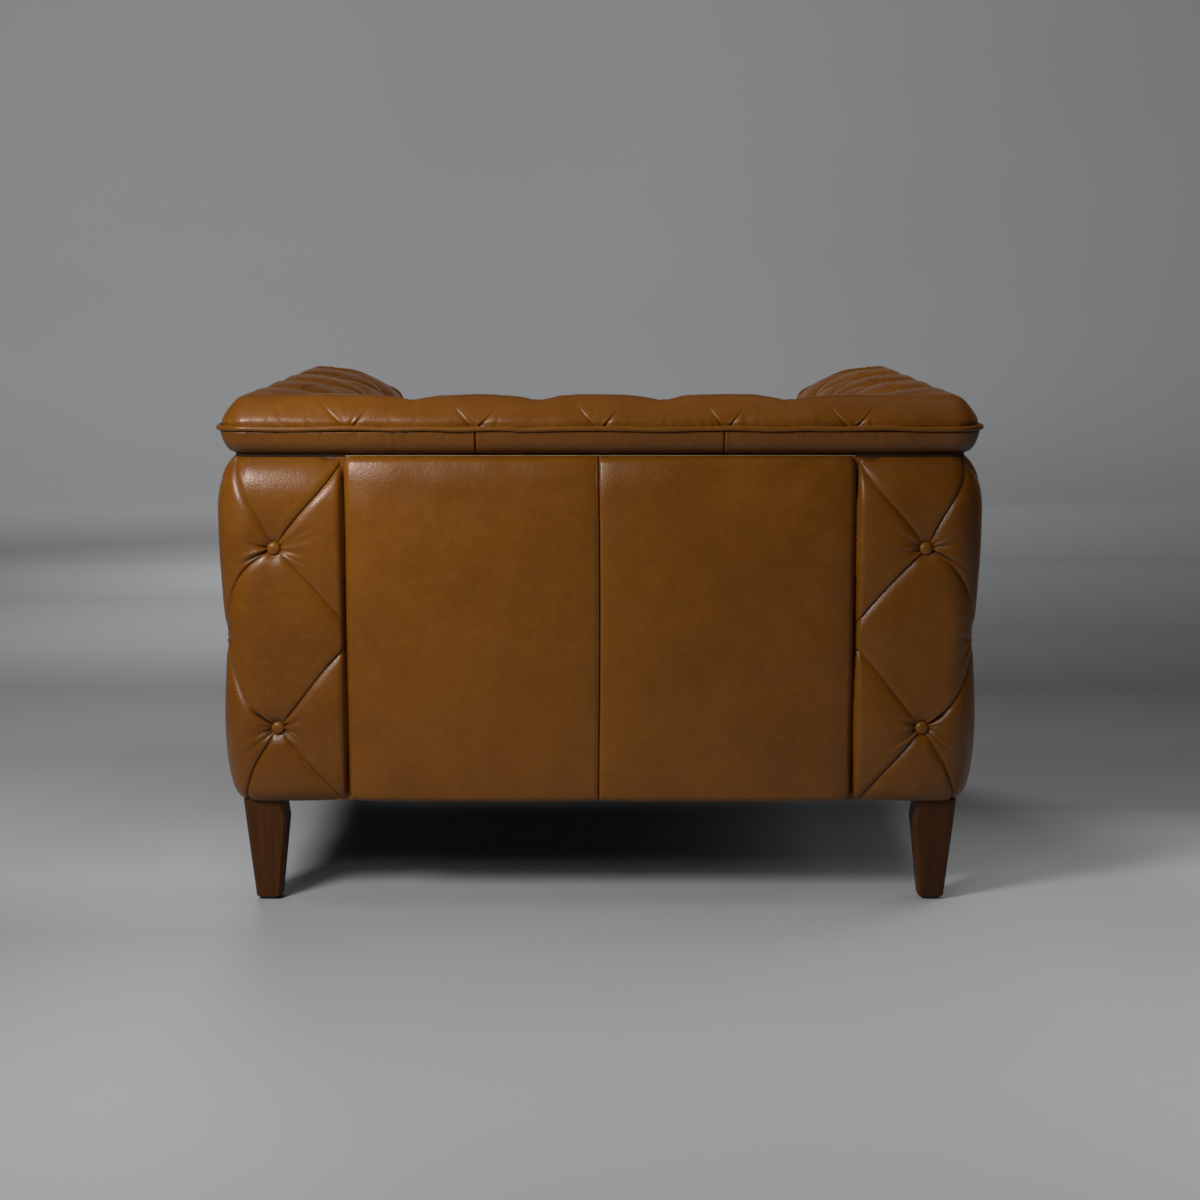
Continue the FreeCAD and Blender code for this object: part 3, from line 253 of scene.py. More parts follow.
def towards_welt(n, z, share):
    """Moves points of the arm's section towards the welt line on the arm's face."""
    away = WELT_RADIUS + 0.0003
    edge, top = FACE_EDGE - away - FRAME_X, WELT_Z + away
    turn = WELT_TURN + away
    turn_n, turn_z = edge + turn, top - turn
    reach = np.maximum(np.hypot(n - turn_n, z - turn_z), 1e-9)
    goal_n = turn_n + (n - turn_n) * turn / reach
    goal_z = turn_z + (z - turn_z) * turn / reach
    goal_n = np.where(z <= turn_z, edge, goal_n)
    goal_z = np.where(z <= turn_z, z, goal_z)
    over = n >= turn_n
    goal_n = np.where(over, n, goal_n)
    goal_z = np.where(over, top, goal_z)
    outside = n >= -CORNER
    goal_n = np.where(outside, -CORNER, goal_n)
    goal_z = np.where(outside, np.minimum(z, top), goal_z)
    return goal_n + (n - goal_n) * share, goal_z + (z - goal_z) * share


def on_arm(s, t, depth):
    """The left arm's inner pad: s is y. It turns the rear corner and rounds off at the front."""
    n, z, wn, wz = arm_line.at(t)
    angle = np.pi / 2 - np.maximum(s - CREST_Y, 0.0) / PAD_CORNER
    wx, wy = turned(angle)
    cap = np.clip((CAP_START - s) / CAP_LENGTH, 0.0, 1.0) * np.pi / 2
    n, z = towards_welt(n, z, np.cos(cap))
    out = unit(np.stack([wn * np.cos(cap), -np.sin(cap), wz * np.cos(cap)], axis=1))
    run = CORNER + n - out[:, 0] * depth
    y = np.clip(s, CAP_START, CREST_Y) - CAP_DEPTH * np.sin(cap) - out[:, 1] * depth
    slant = near_mitre(arm_limit(t) - s) * MITRE[1] / MITRE[0]
    y = y + slant * np.maximum(-out[:, 0] * depth, 0.0)
    return np.stack([CREST_X + run * wx, y + run * wy, z - out[:, 2] * depth], axis=1)


def around(s):
    """The crest line and the way out at a distance s round the outer arm from the left rear
    corner's start, which lies on the rear face."""
    arc, side = OUTER_CORNER * math.pi / 2, 2 * CREST_Y
    angle = np.clip(s / OUTER_CORNER, 0, math.pi / 2)
    angle = angle + np.clip((s - arc - side) / OUTER_CORNER, 0, math.pi / 2)
    x = CREST_X + np.minimum(s, 0.0) - np.maximum(s - 2 * arc - side, 0.0)
    y = CREST_Y - np.clip(s - arc, 0.0, side)
    return x, y, np.sin(angle), np.cos(angle)


def on_wall(s, t, depth):
    """The left outer arm: t is the height."""
    x, y, wx, wy = around(s)
    run = CORNER + np.interp(t, wall_line[:, 1], wall_line[:, 0]) - depth
    return np.stack([x + run * wx, y + run * wy, t], axis=1)


# ---- the tufted sheets ----
def chance(*seeds):
    """A random generator that depends only on a place, so a shared edge is the same twice."""
    return np.random.default_rng([int(round(abs(v) * 1e5)) for v in seeds])


def fold_line(a, b, shares, bow):
    """Points of the fold between two lattice points, a little off straight."""
    if a > b:
        return fold_line(b, a, 1.0 - shares, bow)
    start, run = np.array(a), np.array(b) - np.array(a)
    rng = chance(*a, *b)
    side = np.array([-run[1], run[0]]) / np.hypot(*run)
    lift = np.sin(np.pi * shares) * (bow(a, b) + rng.uniform(-FOLD_STRAY, FOLD_STRAY))
    lift = lift + np.sin(2 * np.pi * shares) * rng.uniform(-FOLD_STRAY, FOLD_STRAY)
    return start + shares[:, None] * run + lift[:, None] * side


def coons(top, right, bottom, left, shares, bow):
    """(s, t) of a grid over one diamond, bounded by its four folds."""
    u = shares[:, None, None]
    v = shares[None, :, None]
    top_right = fold_line(top, right, shares, bow)[:, None]
    left_bottom = fold_line(left, bottom, shares, bow)[:, None]
    top_left = fold_line(top, left, shares, bow)[None]
    right_bottom = fold_line(right, bottom, shares, bow)[None]
    t, r, b, l = (np.array(p) for p in (top, right, bottom, left))
    flat = (1 - u) * (1 - v) * t + u * (1 - v) * r + (1 - u) * v * l + u * v * b
    return (1 - v) * top_right + v * left_bottom + (1 - u) * top_left + u * right_bottom - flat


class Tufting:
    """How a sheet is tufted: its buttons' depth, its puffs and its folds."""

    def __init__(self, depth, crown, fold, lip=0.0045, tuck=0.016, bow=None, ease=np.ones_like):
        self.depth, self.crown, self.fold = depth, crown, fold
        self.lip, self.tuck, self.bow, self.ease = lip, tuck, bow, ease

    def fold_depth(self, across, along, lipped):
        """Depth near one fold: a rolled lip on one side and a tucked slope on the other."""
        deep = self.fold * (1 - 0.38 * np.sin(np.pi * along))
        if lipped:
            near = 1 - np.clip(across / self.lip, 0, 1)
            return deep * (round_off(near) - 0.16 * hump(across - 0.008, 0.005))
        return deep * (1 - np.clip(across / self.tuck, 0, 1)) ** 2.2

    def cell_depth(self, u, v, width, t):
        """Depth over one diamond. ease gives how much of the fold there is at each t."""
        width = width / np.maximum(self.ease(t), 0.4)
        folds = [
            self.fold_depth(v * width, u, False),
            self.fold_depth(u * width, v, False),
            self.fold_depth((1 - v) * width, u, True),
            self.fold_depth((1 - u) * width, v, True),
        ]
        full = (1 - np.abs(2 * u - 1) ** 2.8) * (1 - np.abs(2 * v - 1) ** 2.8)
        pleat = np.max(folds, axis=0) + np.minimum(np.min(folds, axis=0), 0)
        return (self.crown * (1 - full) + pleat) * self.ease(t)


def tufted_sheet(cells, tufting, shares):
    """Vertices (s, t, depth) and quads of a sheet made of diamonds, each four lattice points."""
    u, v = np.meshgrid(shares, shares, indexing="ij")
    spots, quads = [], []
    count = len(shares)
    quad = grid_quads(np.arange(count * count).reshape(count, count).T)
    for n, (top, right, bottom, left) in enumerate(cells):
        place = coons(top, right, bottom, left, shares, tufting.bow)
        half = (abs(right[0] - left[0]) / 2, abs(top[1] - bottom[1]) / 2)
        width = 2 * half[0] * half[1] / math.hypot(*half)
        depth = tufting.cell_depth(u, v, width, place[:, :, 1])
        spots.append(np.concatenate([place.reshape(-1, 2), depth.reshape(-1, 1)], axis=1))
        quads.append(quad + n * count * count)
    spots, quads = np.concatenate(spots), np.concatenate(quads)
    _, first, same = np.unique(
        np.round(spots[:, :2], 6), axis=0, return_index=True, return_inverse=True
    )
    return spots[first], same.reshape(-1)[quads]


WRINKLE_REACH = 0.085                   # no wrinkle runs farther from its button
WRINKLE_FAN = 84                        # degrees over which they spread, on either side
WRINKLE_SIDES = ((1, 5), (-1, 4))       # way along s, and how many


def wrinkle(ds, dt, side, angle, rng):
    """Depth of one short wrinkle that starts at a button, at offsets ds, dt from it."""
    reach = rng.uniform(0.040, 0.078)
    cs, sn = side * math.cos(angle), math.sin(angle)
    along = ds * cs + dt * sn
    off = dt * cs - ds * sn
    off = off - rng.uniform(-0.12, 0.12) * along - rng.uniform(-3.0, 3.0) * along**2
    wide = 0.0010 + 0.036 * np.maximum(along, 0.0)
    strength = bend(along, 0.005, 0.012) * np.clip(1 - along / reach, 0, 1) ** 0.8
    crease = hump(off, wide) - 0.55 * hump(off - 2.1 * wide, 1.2 * wide)
    return rng.uniform(0.0022, 0.0044) * strength * crease


def pull_buttons(spots, buttons, tufting):
    """Draws the leather in round each button, with a fan of short wrinkles."""
    depth = spots[:, 2]
    for a, b in buttons:
        ds, dt = spots[:, 0] - a, spots[:, 1] - b
        r = np.hypot(ds, dt)
        near = r < WRINKLE_REACH
        if not near.any():
            continue
        rng = chance(a, b, 0.5)
        away = np.maximum(r[near] - BUTTON_RADIUS * 0.9, 0)
        hollow = tufting.depth * (0.62 * np.exp(-away / 0.010) + 0.38 * np.exp(-away / 0.026))
        depth[near] = np.minimum((depth[near] ** 4 + hollow**4) ** 0.25, tufting.depth)
        for side, number in WRINKLE_SIDES:
            for k in range(number):
                share = (k + rng.uniform(0.1, 0.9)) / number
                angle = math.radians((share - 0.5) * WRINKLE_FAN)
                depth[near] += wrinkle(ds[near], dt[near], side, angle, rng)
    spots[:, 2] = depth


def slow_waves(s, t, size, seed):
    """A gentle unevenness, the same each time."""
    rng = np.random.default_rng(seed)
    total = np.zeros_like(s)
    for _ in range(WAVES):
        way = rng.uniform(0, 2 * np.pi)
        pitch = rng.uniform(0.05, 0.16)
        phase = rng.uniform(0, 2 * np.pi)
        total += np.sin((s * math.cos(way) + t * math.sin(way)) * 2 * np.pi / pitch + phase)
    return total * size / WAVES


# ---- flat sheets as meshes: trimming, hems, and laying them on the chair ----
def get_points(mesh):
    """A mesh's vertices as the rows of an array."""
    points = np.empty(len(mesh.vertices) * 3)
    mesh.vertices.foreach_get("co", points)
    return points.reshape(-1, 3)


def set_points(mesh, points):
    """Moves a mesh's vertices to the rows of an array."""
    mesh.vertices.foreach_set("co", np.asarray(points, np.float32).ravel())
    mesh.update()


def extruded_rim(bm):
    """Extrudes a mesh's free edges and gives the new vertices."""
    free = [e for e in bm.edges if e.is_boundary]
    made = bmesh.ops.extrude_edge_only(bm, edges=free)["geom"]
    return [v for v in made if isinstance(v, bmesh.types.BMVert)]


class Flat:
    """A flat sheet (s, t, depth), as a mesh that is trimmed, hemmed and then laid on the chair."""

    def __init__(self, name, spots, quads):
        self.mesh = new_mesh(name, spots, quads)

    def trim(self, point, way, away=True):
        """Cuts along a line, given by a point and the way beyond it, and drops what lies beyond."""
        with editing(self.mesh) as bm:
            everything = bm.verts[:] + bm.edges[:] + bm.faces[:]
            bmesh.ops.bisect_plane(
                bm, geom=everything, dist=1e-7, plane_co=(*point, 0.0), plane_no=(*way, 0.0),
                clear_outer=away
            )

    def trim_curve(self, limit, side):
        """Cuts away what lies past s = side * limit(t)."""
        points = get_points(self.mesh)
        points[:, 0] -= side * limit(points[:, 1])
        set_points(self.mesh, points)
        self.trim((0, 0), (side, 0))
        points = get_points(self.mesh)
        points[:, 0] += side * limit(points[:, 1])
        set_points(self.mesh, points)

    def hem(self, depth):
        """Turns the sheet's free edges in by a depth."""
        with editing(self.mesh) as bm:
            for v in extruded_rim(bm):
                v.co.z += depth

    def lay(self, place, edges, inside):
        """Moves the sheet to its place on the chair, facing away from a point inside it."""
        s, t, depth = get_points(self.mesh).T
        set_points(self.mesh, place(s, t, edges(s, t, depth)))
        with editing(self.mesh) as bm:
            bmesh.ops.remove_doubles(bm, verts=bm.verts[:], dist=0.00003)
            bmesh.ops.recalc_face_normals(bm, faces=bm.faces[:])
        outward(self.mesh, inside)
        return self.mesh


# ---- pieces ----
def mark_folds(mesh, shaded=None):
    """Stores how hollow (above 0) or ridged (below 0) each vertex is, for the leather's colour: the
    hollows get painted shade. shaded gives the least hollow at each point, and so paints shade there
    as well."""
    count = len(mesh.vertices)
    co = get_points(mesh)
    normal = np.empty(count * 3)
    mesh.vertex_normals.foreach_get("vector", normal)
    normal = normal.reshape(-1, 3)
    ends = np.empty(len(mesh.edges) * 2, dtype=np.int32)
    mesh.edges.foreach_get("vertices", ends)
    ends = ends.reshape(-1, 2)
    a, b = ends[:, 0], ends[:, 1]
    run = co[b] - co[a]
    size = np.maximum((run**2).sum(axis=1), 1e-8)
    hollow = np.bincount(a, (run * normal[a]).sum(axis=1) / size, count)
    hollow += np.bincount(b, -(run * normal[b]).sum(axis=1) / size, count)
    degree = np.maximum(np.bincount(ends.ravel(), minlength=count), 1)
    hollow = np.clip(2 * hollow / degree / SHARP_FOLD, -1.0, 1.0)
    for _ in range(4):
        spread = np.bincount(a, hollow[b], count) + np.bincount(b, hollow[a], count)
        hollow = 0.5 * hollow + 0.5 * spread / degree
    # painted shade: where shaded says so, points count as hollow and are darkened
    if shaded:
        hollow = np.maximum(hollow, shaded(co))
    layer = mesh.attributes.new("hollow", "FLOAT", "POINT")
    layer.data.foreach_set("value", hollow.astype(np.float32))


def add_piece(name, mesh, body, slot, replaced=(), folds=True, shaded=None):
    """Adds a piece of a body, in the material of a slot, in place of the nodes it replaces."""
    mesh.shade_smooth()
    if folds:
        mark_folds(mesh, shaded)
    obj = new_object(name, mesh)
    mesh.materials.append(materials[slot])
    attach(obj, body)
    if replaced:
        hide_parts(*replaced)
    return obj


def mirrored(mesh, name):
    """The same mesh on the sitter's right."""
    copy = mesh.copy()
    copy.name = name
    with editing(copy) as bm:
        for v in bm.verts:
            v.co.x = -v.co.x
        bmesh.ops.reverse_faces(bm, faces=bm.faces[:])
    return copy


def add_side_pads(part, mesh, shaded=None):
    """Adds a pad of the left side, and the same mirrored on the right."""
    for side, made in (("left", mesh), ("right", mirrored(mesh, f"{part}_right"))):
        nodes = [f"{part}_cover_{side}", f"{part}_foam_{side}"]
        obj = add_piece(f"{part}_{side}", made, "chair", "cognac_leather", nodes, shaded=shaded)


def facing(mesh):
    """Makes all the faces of a closed mesh face outwards."""
    with editing(mesh) as bm:
        bmesh.ops.recalc_face_normals(bm, faces=bm.faces[:])


def outward(mesh, centre):
    """Turns the faces round if they mostly face a point inside."""
    area = sum(p.area * (p.center - centre).dot(p.normal) for p in mesh.polygons)
    if area < 0:
        mesh.flip_normals()


cell_shares = np.linspace(0, 1, CELL_GRID + 1)
cell_shares = cell_shares - CELL_CLUSTER * np.sin(2 * np.pi * cell_shares) / (2 * np.pi)


def diamonds(columns, rows, place):
    """Cells round every lattice hole. place(i, j) gives a lattice point, and i + j is even there."""
    cells = []
    for i in columns:
        for j in rows:
            if (i + j) % 2:
                cells.append((place(i, j + 1), place(i + 1, j), place(i, j - 1), place(i - 1, j)))
    return cells


# ---- outer arms ----
OUTER_LENGTH = OUTER_CORNER * math.pi + 2 * CREST_Y
WALL_START = REAR_EDGE - CREST_X
WALL_END = OUTER_LENGTH + CREST_X - FACE_EDGE - WELT_RADIUS - 0.0003
REAR_FLAP, FRONT_FLAP = 0.0034, 0.0096  # leather turned under, on the frame, beside the panels
REAR_ROLL, FRONT_ROLL = 0.007, 0.008    # how far before those flaps it begins to roll in
REAR_TURN, FRONT_TURN = 0.016, 0.010    # and how deep it rolls
HEM_LOSS, HEM_REACH = 0.0015, 0.07      # what the pad loses towards the hem, and from how far up
NECK_LOSS, NECK_REACH = 0.0065, 0.085   # the same towards the neck
REAR_LOSS, REAR_REACH = 0.0046, 0.052   # and towards the outside back panel
NECK_GROOVE = (0.0047, 0.0051, 0.0056)  # where the leather dips in under the band: foot, lip, edge
GROOVE_DEPTH = 0.0200
CORNER_EASE = 0.45                      # share of the tufts' depth lost where it turns a corner

# Ends of folds that no button holds, where they lie off the lattice: (column, row) to (s, z).
LOOSE_ENDS = {
    (1, 3): (0.040, 0.640), (1, -1): (0.044, 0.130), (-1, 1): (-0.142, 0.3835),
    (9, 3): (0.860, 0.640), (9, -1): (0.840, 0.130), (11, 1): (1.072, 0.3835),
}


def corner_bow(a, b):
    """The folds that turn a corner bow away from the middle row."""
    middle = OUTER_ROWS[1]
    for low, high in ((-0.04, 0.07), (0.83, 0.97)):
        if low < a[0] < high and low < b[0] < high and middle in (a[1], b[1]):
            over = a[1] + b[1] > 2 * middle
            return 0.020 if over else -0.012
    return 0.0015


outer_tufting = Tufting(OUTER_DEPTH, 0.0045, 0.0048, lip=0.0036, tuck=0.012, bow=corner_bow)


def outer_lattice(i, j):
    """Column i and row j: rows 0 and 2 hold the buttons of even columns, row 1 of odd ones."""
    step = OUTER_ROWS[1] - OUTER_ROWS[0]
    return LOOSE_ENDS.get((i, j), (OUTER_START + i * OUTER_STEP, OUTER_ROWS[1] + (j - 1) * step))


def round_corner(s, t, depth):
    """Where the leather turns a corner it is drawn in less, but for the button there."""
    along = np.minimum(s, OUTER_LENGTH - s)
    button = np.hypot(along - OUTER_START - OUTER_STEP, t - OUTER_ROWS[1])
    return depth * (1 - CORNER_EASE * hump(along - 0.085, 0.035) * (1 - hump(button, 0.018)))


def build_outer_arms():
    """Both outer arms. Gives the seats of the left one's buttons."""
    cells = diamonds(range(-2, 13), range(-2, 5), outer_lattice)
    spots, quads = tufted_sheet(cells, outer_tufting, cell_shares)
    seats = [outer_lattice(i, j) for i in range(11) for j in ((0, 2) if i % 2 == 0 else (1,))]
    pull_buttons(spots, seats, outer_tufting)
    spots[:, 2] = round_corner(*spots.T)
    spots[:, 2] += 0.0004 + slow_waves(spots[:, 0], spots[:, 1], 0.0007, 3)
    sheet = Flat("outer_arm_left", spots, quads)
    sheet.trim((WALL_START - REAR_FLAP, 0), (-1, 0))
    sheet.trim((WALL_END + FRONT_FLAP, 0), (1, 0))
    sheet.trim((WALL_END, 0), (1, 0), away=False)
    sheet.trim((WALL_END + 0.0004, 0), (1, 0), away=False)
    sheet.trim((0, HEM + 0.0006), (0, -1))
    sheet.trim((0, NECK - 0.0005), (0, 1))
    for drop in NECK_GROOVE:
        sheet.trim((0, NECK - drop), (0, 1), away=False)
    mesh = sheet.lay(on_wall, wall_edges, Vector((0.35, 0, 0.4)))
    # the groove under the band gets painted shade
    add_side_pads("outer_arm", mesh, groove_shade)
    return [wall_seat(s, t) for s, t in seats]


def groove_shade(points):
    """Painted shade in the groove under the band: how far each point lies in it."""
    return bend(points[:, 2], NECK - NECK_GROOVE[2], NECK - NECK_GROOVE[1])


def wall_edges(s, t, depth):
    """Rounds the outer arm's leather in at its free edges."""
    thick = np.interp(t, wall_line[:, 1], wall_line[:, 0])
    rear = 1 - bend(s, WALL_START, WALL_START + REAR_ROLL)
    front = 1 - bend(s, WALL_END, WALL_END - FRONT_ROLL)
    groove = 1 - bend(NECK - t, *NECK_GROOVE[:2])
    ends = NECK_LOSS * plump(NECK - t, NECK_REACH) + HEM_LOSS * plump(t - HEM, HEM_REACH)
    ends = ends + REAR_LOSS * plump(s - WALL_START, REAR_REACH) + GROOVE_DEPTH * groove
    rolls = REAR_TURN * round_off(rear) + FRONT_TURN * round_off(front)
    depth = depth + rolls + ends + (s > WALL_END + 0.0002)
    return np.minimum(depth, np.maximum(thick - 0.0006, 0.0))


def wall_seat(s, t):
    """Place and way out of a button's seat on the left outer arm."""
    s, t, depth = np.array([s]), np.array([t]), np.array([OUTER_DEPTH])
    _, _, wx, wy = around(s)
    return Vector(on_wall(s, t, depth)[0]), Vector((wx[0], wy[0], 0))


# ---- inner pads ----
def slight_bow(*_ends):
    """The inner pads' folds all bow alike."""
    return 0.002


def shallow_at_welt(t):
    """The folds are thin by the welt, fade over the crest, and are full on the inner face."""
    return 0.05 + 0.42 * (1 - bend(t, 0.002, 0.026)) + 0.95 * bend(t, 0.056, 0.110)


inner_tufting = Tufting(
    INNER_DEPTH, 0.0065, 0.0075, lip=0.006, tuck=0.020, bow=slight_bow, ease=shallow_at_welt
)
MITRE_ANGLE = math.atan2(*MITRE)
CAP_END = CAP_START - CAP_LENGTH        # the s where an arm's leather ends at its front
WELT_NIP, WELT_NEAR = 0.0015, 0.006     # how the welt nips the leather in, and over what width
PAD_HEM = 0.010                         # how far the pads' edges are turned in
FIRST_ROW_T, NOTCH = 0.072, 0.0100      # where the first buttons notch the crest, and how deep


def row_at(j):
    """t of lattice row j, with rows past both ends."""
    if j < 0:
        return INNER_ROWS[0] + j * ROWS_BEFORE
    if j >= len(INNER_ROWS):
        return INNER_ROWS[-1] + (j - len(INNER_ROWS) + 1) * ROWS_AFTER
    return INNER_ROWS[j]


def mitre_limit(line, start, corner_length, slope):
    """For a pad's section: how far along the pad its leather runs at each t."""
    def limit(t):
        n, _, _, _ = line.at(t)
        crest_t = line.t[int(np.argmax(line.line[:, 1]))]
        inward = np.maximum(-CORNER - n, 0.0) * slope
        outer = corner_length * (1 - bend(t, crest_t - 0.002, crest_t + 0.002))
        return start + outer - inward
    return limit


back_limit = mitre_limit(back_line, CREST_X, PAD_CORNER * MITRE_ANGLE, MITRE[0] / MITRE[1])
arm_limit = mitre_limit(
    arm_line, CREST_Y, PAD_CORNER * (math.pi / 2 - MITRE_ANGLE), MITRE[1] / MITRE[0]
)


def tuck_at_mitre(gap, t):
    """Depth near the line where two pads meet: a rounded valley inside, a thin seam outside."""
    inside = bend(t, 0.045, 0.100)
    near = 1 - np.clip(gap / (0.003 + 0.019 * inside), 0, 1)
    return (0.0005 + 0.0135 * inside) * round_off(near)


def smooth_corner(s, t, depth, corner):
    """Outside, the leather runs plain round the rear corner from one pad to the next."""
    share = bend(s, corner - 0.045, corner + 0.010) * (1 - bend(t, 0.050, 0.085))
    return depth + (0.0016 - depth) * share


def back_edges(s, t, depth):
    """The depth of the back's leather, drawn in at its edges."""
    welt = 1 - bend(t, 0.0, WELT_NEAR)
    depth = smooth_corner(np.abs(s), t, depth, CREST_X)
    return depth + tuck_at_mitre(back_limit(t) - np.abs(s), t) + WELT_NIP * welt**2


def arm_edges(s, t, depth):
    """The depth of an arm's leather, drawn in at its edges."""
    welt = 1 - bend(t, 0.0, WELT_NEAR)
    front = 1 - bend(s, CAP_END, CAP_END + WELT_NEAR)
    depth = depth * (1 - 0.8 * bend(s, CAP_END + 0.02, CAP_END))
    depth = smooth_corner(s, t, depth, CREST_Y)
    return depth + tuck_at_mitre(arm_limit(t) - s, t) + WELT_NIP * np.maximum(welt, front) ** 2


def notch_crest(spots, seats):
    """The first row of buttons, just past the crest, also draws the crest down beside it."""
    for a, b in seats:
        if b == INNER_ROWS[1]:
            beside = np.exp(-np.abs(spots[:, 0] - a) / 0.015)
            spots[:, 2] += NOTCH * beside * hump(spots[:, 1] - FIRST_ROW_T, 0.026)


def pucker(s, t, depth, low, high, seed):
    """Short soft creases that run from the welt's stitching, here and there."""
    rng = np.random.default_rng(seed)
    place = low
    while place < high:
        lean, reach = rng.uniform(-0.5, 0.5), rng.uniform(0.012, 0.034)
        off = s - place - lean * t
        strength = 0.0011 * rng.uniform(0.3, 1.0) * np.clip(1 - t / reach, 0, 1)
        depth = depth + strength * (hump(off, 0.0026) - 0.6 * hump(off - 0.005, 0.003))
        place += rng.uniform(0.014, 0.060)
    return depth


def inner_sheet(name, cells, seats, seed):
    """An inner pad's flat sheet, tufted at its seats."""
    spots, quads = tufted_sheet(cells, inner_tufting, cell_shares)
    pull_buttons(spots, seats, inner_tufting)
    notch_crest(spots, seats)
    spots[:, 2] = pucker(*spots.T, spots[:, 0].min(), spots[:, 0].max(), seed + 60)
    spots[:, 2] += 0.0008 + slow_waves(spots[:, 0], spots[:, 1], 0.0012, seed)
    return Flat(name, spots, quads)


def pad_seat(place, s, t):
    """Place and way out of a button's seat on an inner pad."""
    s, t = np.array([s, s]), np.array([t, t])
    low, high = place(s, t, np.array([INNER_DEPTH, INNER_DEPTH - 0.01]))
    return Vector(low), Vector(high - low).normalized()


# The columns of the buttons in each row.
BACK_BUTTONS = {1: (-3, -1, 1, 3), 2: (-2, 0, 2), 3: (-3, -1, 1, 3)}
ARM_BUTTONS = {1: (1, 3, 5, 7), 2: (2, 4, 6), 3: (3, 5, 7)}


def back_lattice(i, j):
    """Column i, counted from the middle, and row j."""
    return i * INNER_STEP, row_at(j)


def arm_lattice(i, j):
    """Column i, counted from the rear, and row j."""
    return ARM_COLUMN - i * INNER_STEP, row_at(j)


def build_inner_back():
    """The back's inner pad. Gives the seats of its buttons."""
    cells = diamonds(range(-7, 8), range(0, 6), back_lattice)
    seats = [back_lattice(i, j) for j, columns in BACK_BUTTONS.items() for i in columns]
    sheet = inner_sheet("inner_back", cells, seats, 11)
    sheet.trim((0, -WELT_TUCK), (0, -1))
    sheet.trim((0, back_line.length), (0, 1))
    sheet.trim_curve(back_limit, 1)
    sheet.trim_curve(back_limit, -1)
    sheet.hem(PAD_HEM)
    mesh = sheet.lay(on_back, back_edges, Vector((0, 0.33, 0.45)))
    obj = add_piece("inner_back", mesh, "chair", "cognac_leather",
                    ["inner_back_cover", "inner_back_foam"])
    return [pad_seat(on_back, s, t) for s, t in seats]


def build_inner_arms():
    """Both inner arms. Gives the seats of the left one's buttons."""
    cells = diamonds(range(-2, 12), range(0, 6), arm_lattice)
    seats = [arm_lattice(i, j) for j, columns in ARM_BUTTONS.items() for i in columns]
    sheet = inner_sheet("inner_arm_left", cells, seats, 12)
    sheet.trim((0, -WELT_TUCK), (0, -1))
    sheet.trim((0, arm_line.length), (0, 1))
    sheet.trim((CAP_END, 0), (-1, 0))
    sheet.trim_curve(arm_limit, 1)
    sheet.hem(PAD_HEM)
    mesh = sheet.lay(on_arm, arm_edges, Vector((0.42, 0, 0.45)))
    add_side_pads("inner_arm", mesh)
    return [pad_seat(on_arm, s, t) for s, t in seats]


# ---- covered buttons ----
# A covered button's profile: shares of its radius and height, from its top to its rim.
BUTTON_PROFILE = ((0.38, 0.96), (0.68, 0.82), (0.88, 0.60), (0.99, 0.34), (1.03, 0.10), (1.0, -0.10))


def button_points(spokes=24):
    """Rings of a covered button over its seat: a flat dome with a rolled rim."""
    points = [(0.0, 0.0, BUTTON_HEIGHT)]
    for r, h in BUTTON_PROFILE:
        for a in np.linspace(0, 2 * np.pi, spokes, endpoint=False):
            reach = BUTTON_RADIUS * r
            points.append((reach * math.cos(a), reach * math.sin(a), BUTTON_HEIGHT * h))
    faces = [(0, 1 + k, 1 + (k + 1) % spokes) for k in range(spokes)]
    return points, faces + [face[::-1] for face in ring_quads(len(BUTTON_PROFILE), spokes, 1)]


def build_buttons(name, seats, node, both=True):
    """One piece of all the buttons on the seats, with both also on their mirror images."""
    points, faces = button_points()
    corners, polygons = [], []
    if both:
        seats = seats + [(Vector((-p.x, p.y, p.z)), Vector((-w.x, w.y, w.z))) for p, w in seats]
    for spot, way in seats:
        turn = way.to_track_quat("Z", "Y")
        start = len(corners)
        corners += [spot + turn @ Vector(p) for p in points]
        polygons += [tuple(start + k for k in f) for f in faces]
    mesh = new_mesh(name, corners, polygons)
    mesh.validate()
    return add_piece(name, mesh, "chair", "cognac_leather", [node])


# ---- band, welt, panels ----
BAND_SEAM = 0.170                       # |x| of the band's two seams, on the back
BAND_TOP = NECK + 0.0302
BAND_TUCK = 0.010                       # how far its top edge is turned in, under the welt
BAND_ROWS = 15
SEAM_SINK, SEAM_WIDTH = 0.0035, 0.0012  # how a seam draws the leather in
WELT_JOIN = 0.117                       # x where the piping's ends lap, on the back
WELT_TWIST = 0.007                      # pitch of the cord that shows through the piping
CORD, CORD_MOST = 0.0036, 0.0041        # the piping's radius, and the most it may be


def band_piece(name, s_values, depth_at):
    """A strip of the band at places s_values of the outer arm's path, its top edge turned in."""
    s = np.array(s_values)
    x, y, wx, wy = around(s)
    top = band_top(s)
    rows = []
    for share in np.linspace(0, 1, BAND_ROWS):
        z = NECK + 0.0003 + (top - NECK) * share
        run = CORNER + band_bulge(share) - depth_at(s, share)
        rows.append(np.stack([x + run * wx, y + run * wy, z], axis=1))
    run = CORNER + np.interp(top, band_line[:, 1], band_line[:, 0]) - BAND_TUCK
    rows.append(np.stack([x + run * wx, y + run * wy, top], axis=1))
    n = len(s)
    faces = [
        (r * n + k, r * n + k + 1, (r + 1) * n + k + 1, (r + 1) * n + k)
        for r in range(len(rows) - 1) for k in range(n - 1)
    ]
    return new_mesh(name, np.concatenate(rows), faces)


def band_bulge(share):
    """The band's place off the frame at a share of its height: full, like a soft roll."""
    low, high = band_line[0, 0], band_line[-1, 0]
    round_share = math.sqrt(1 - (1 - share) ** 2)
    return low + (high - low) * (0.72 * round_share + 0.28 * share)


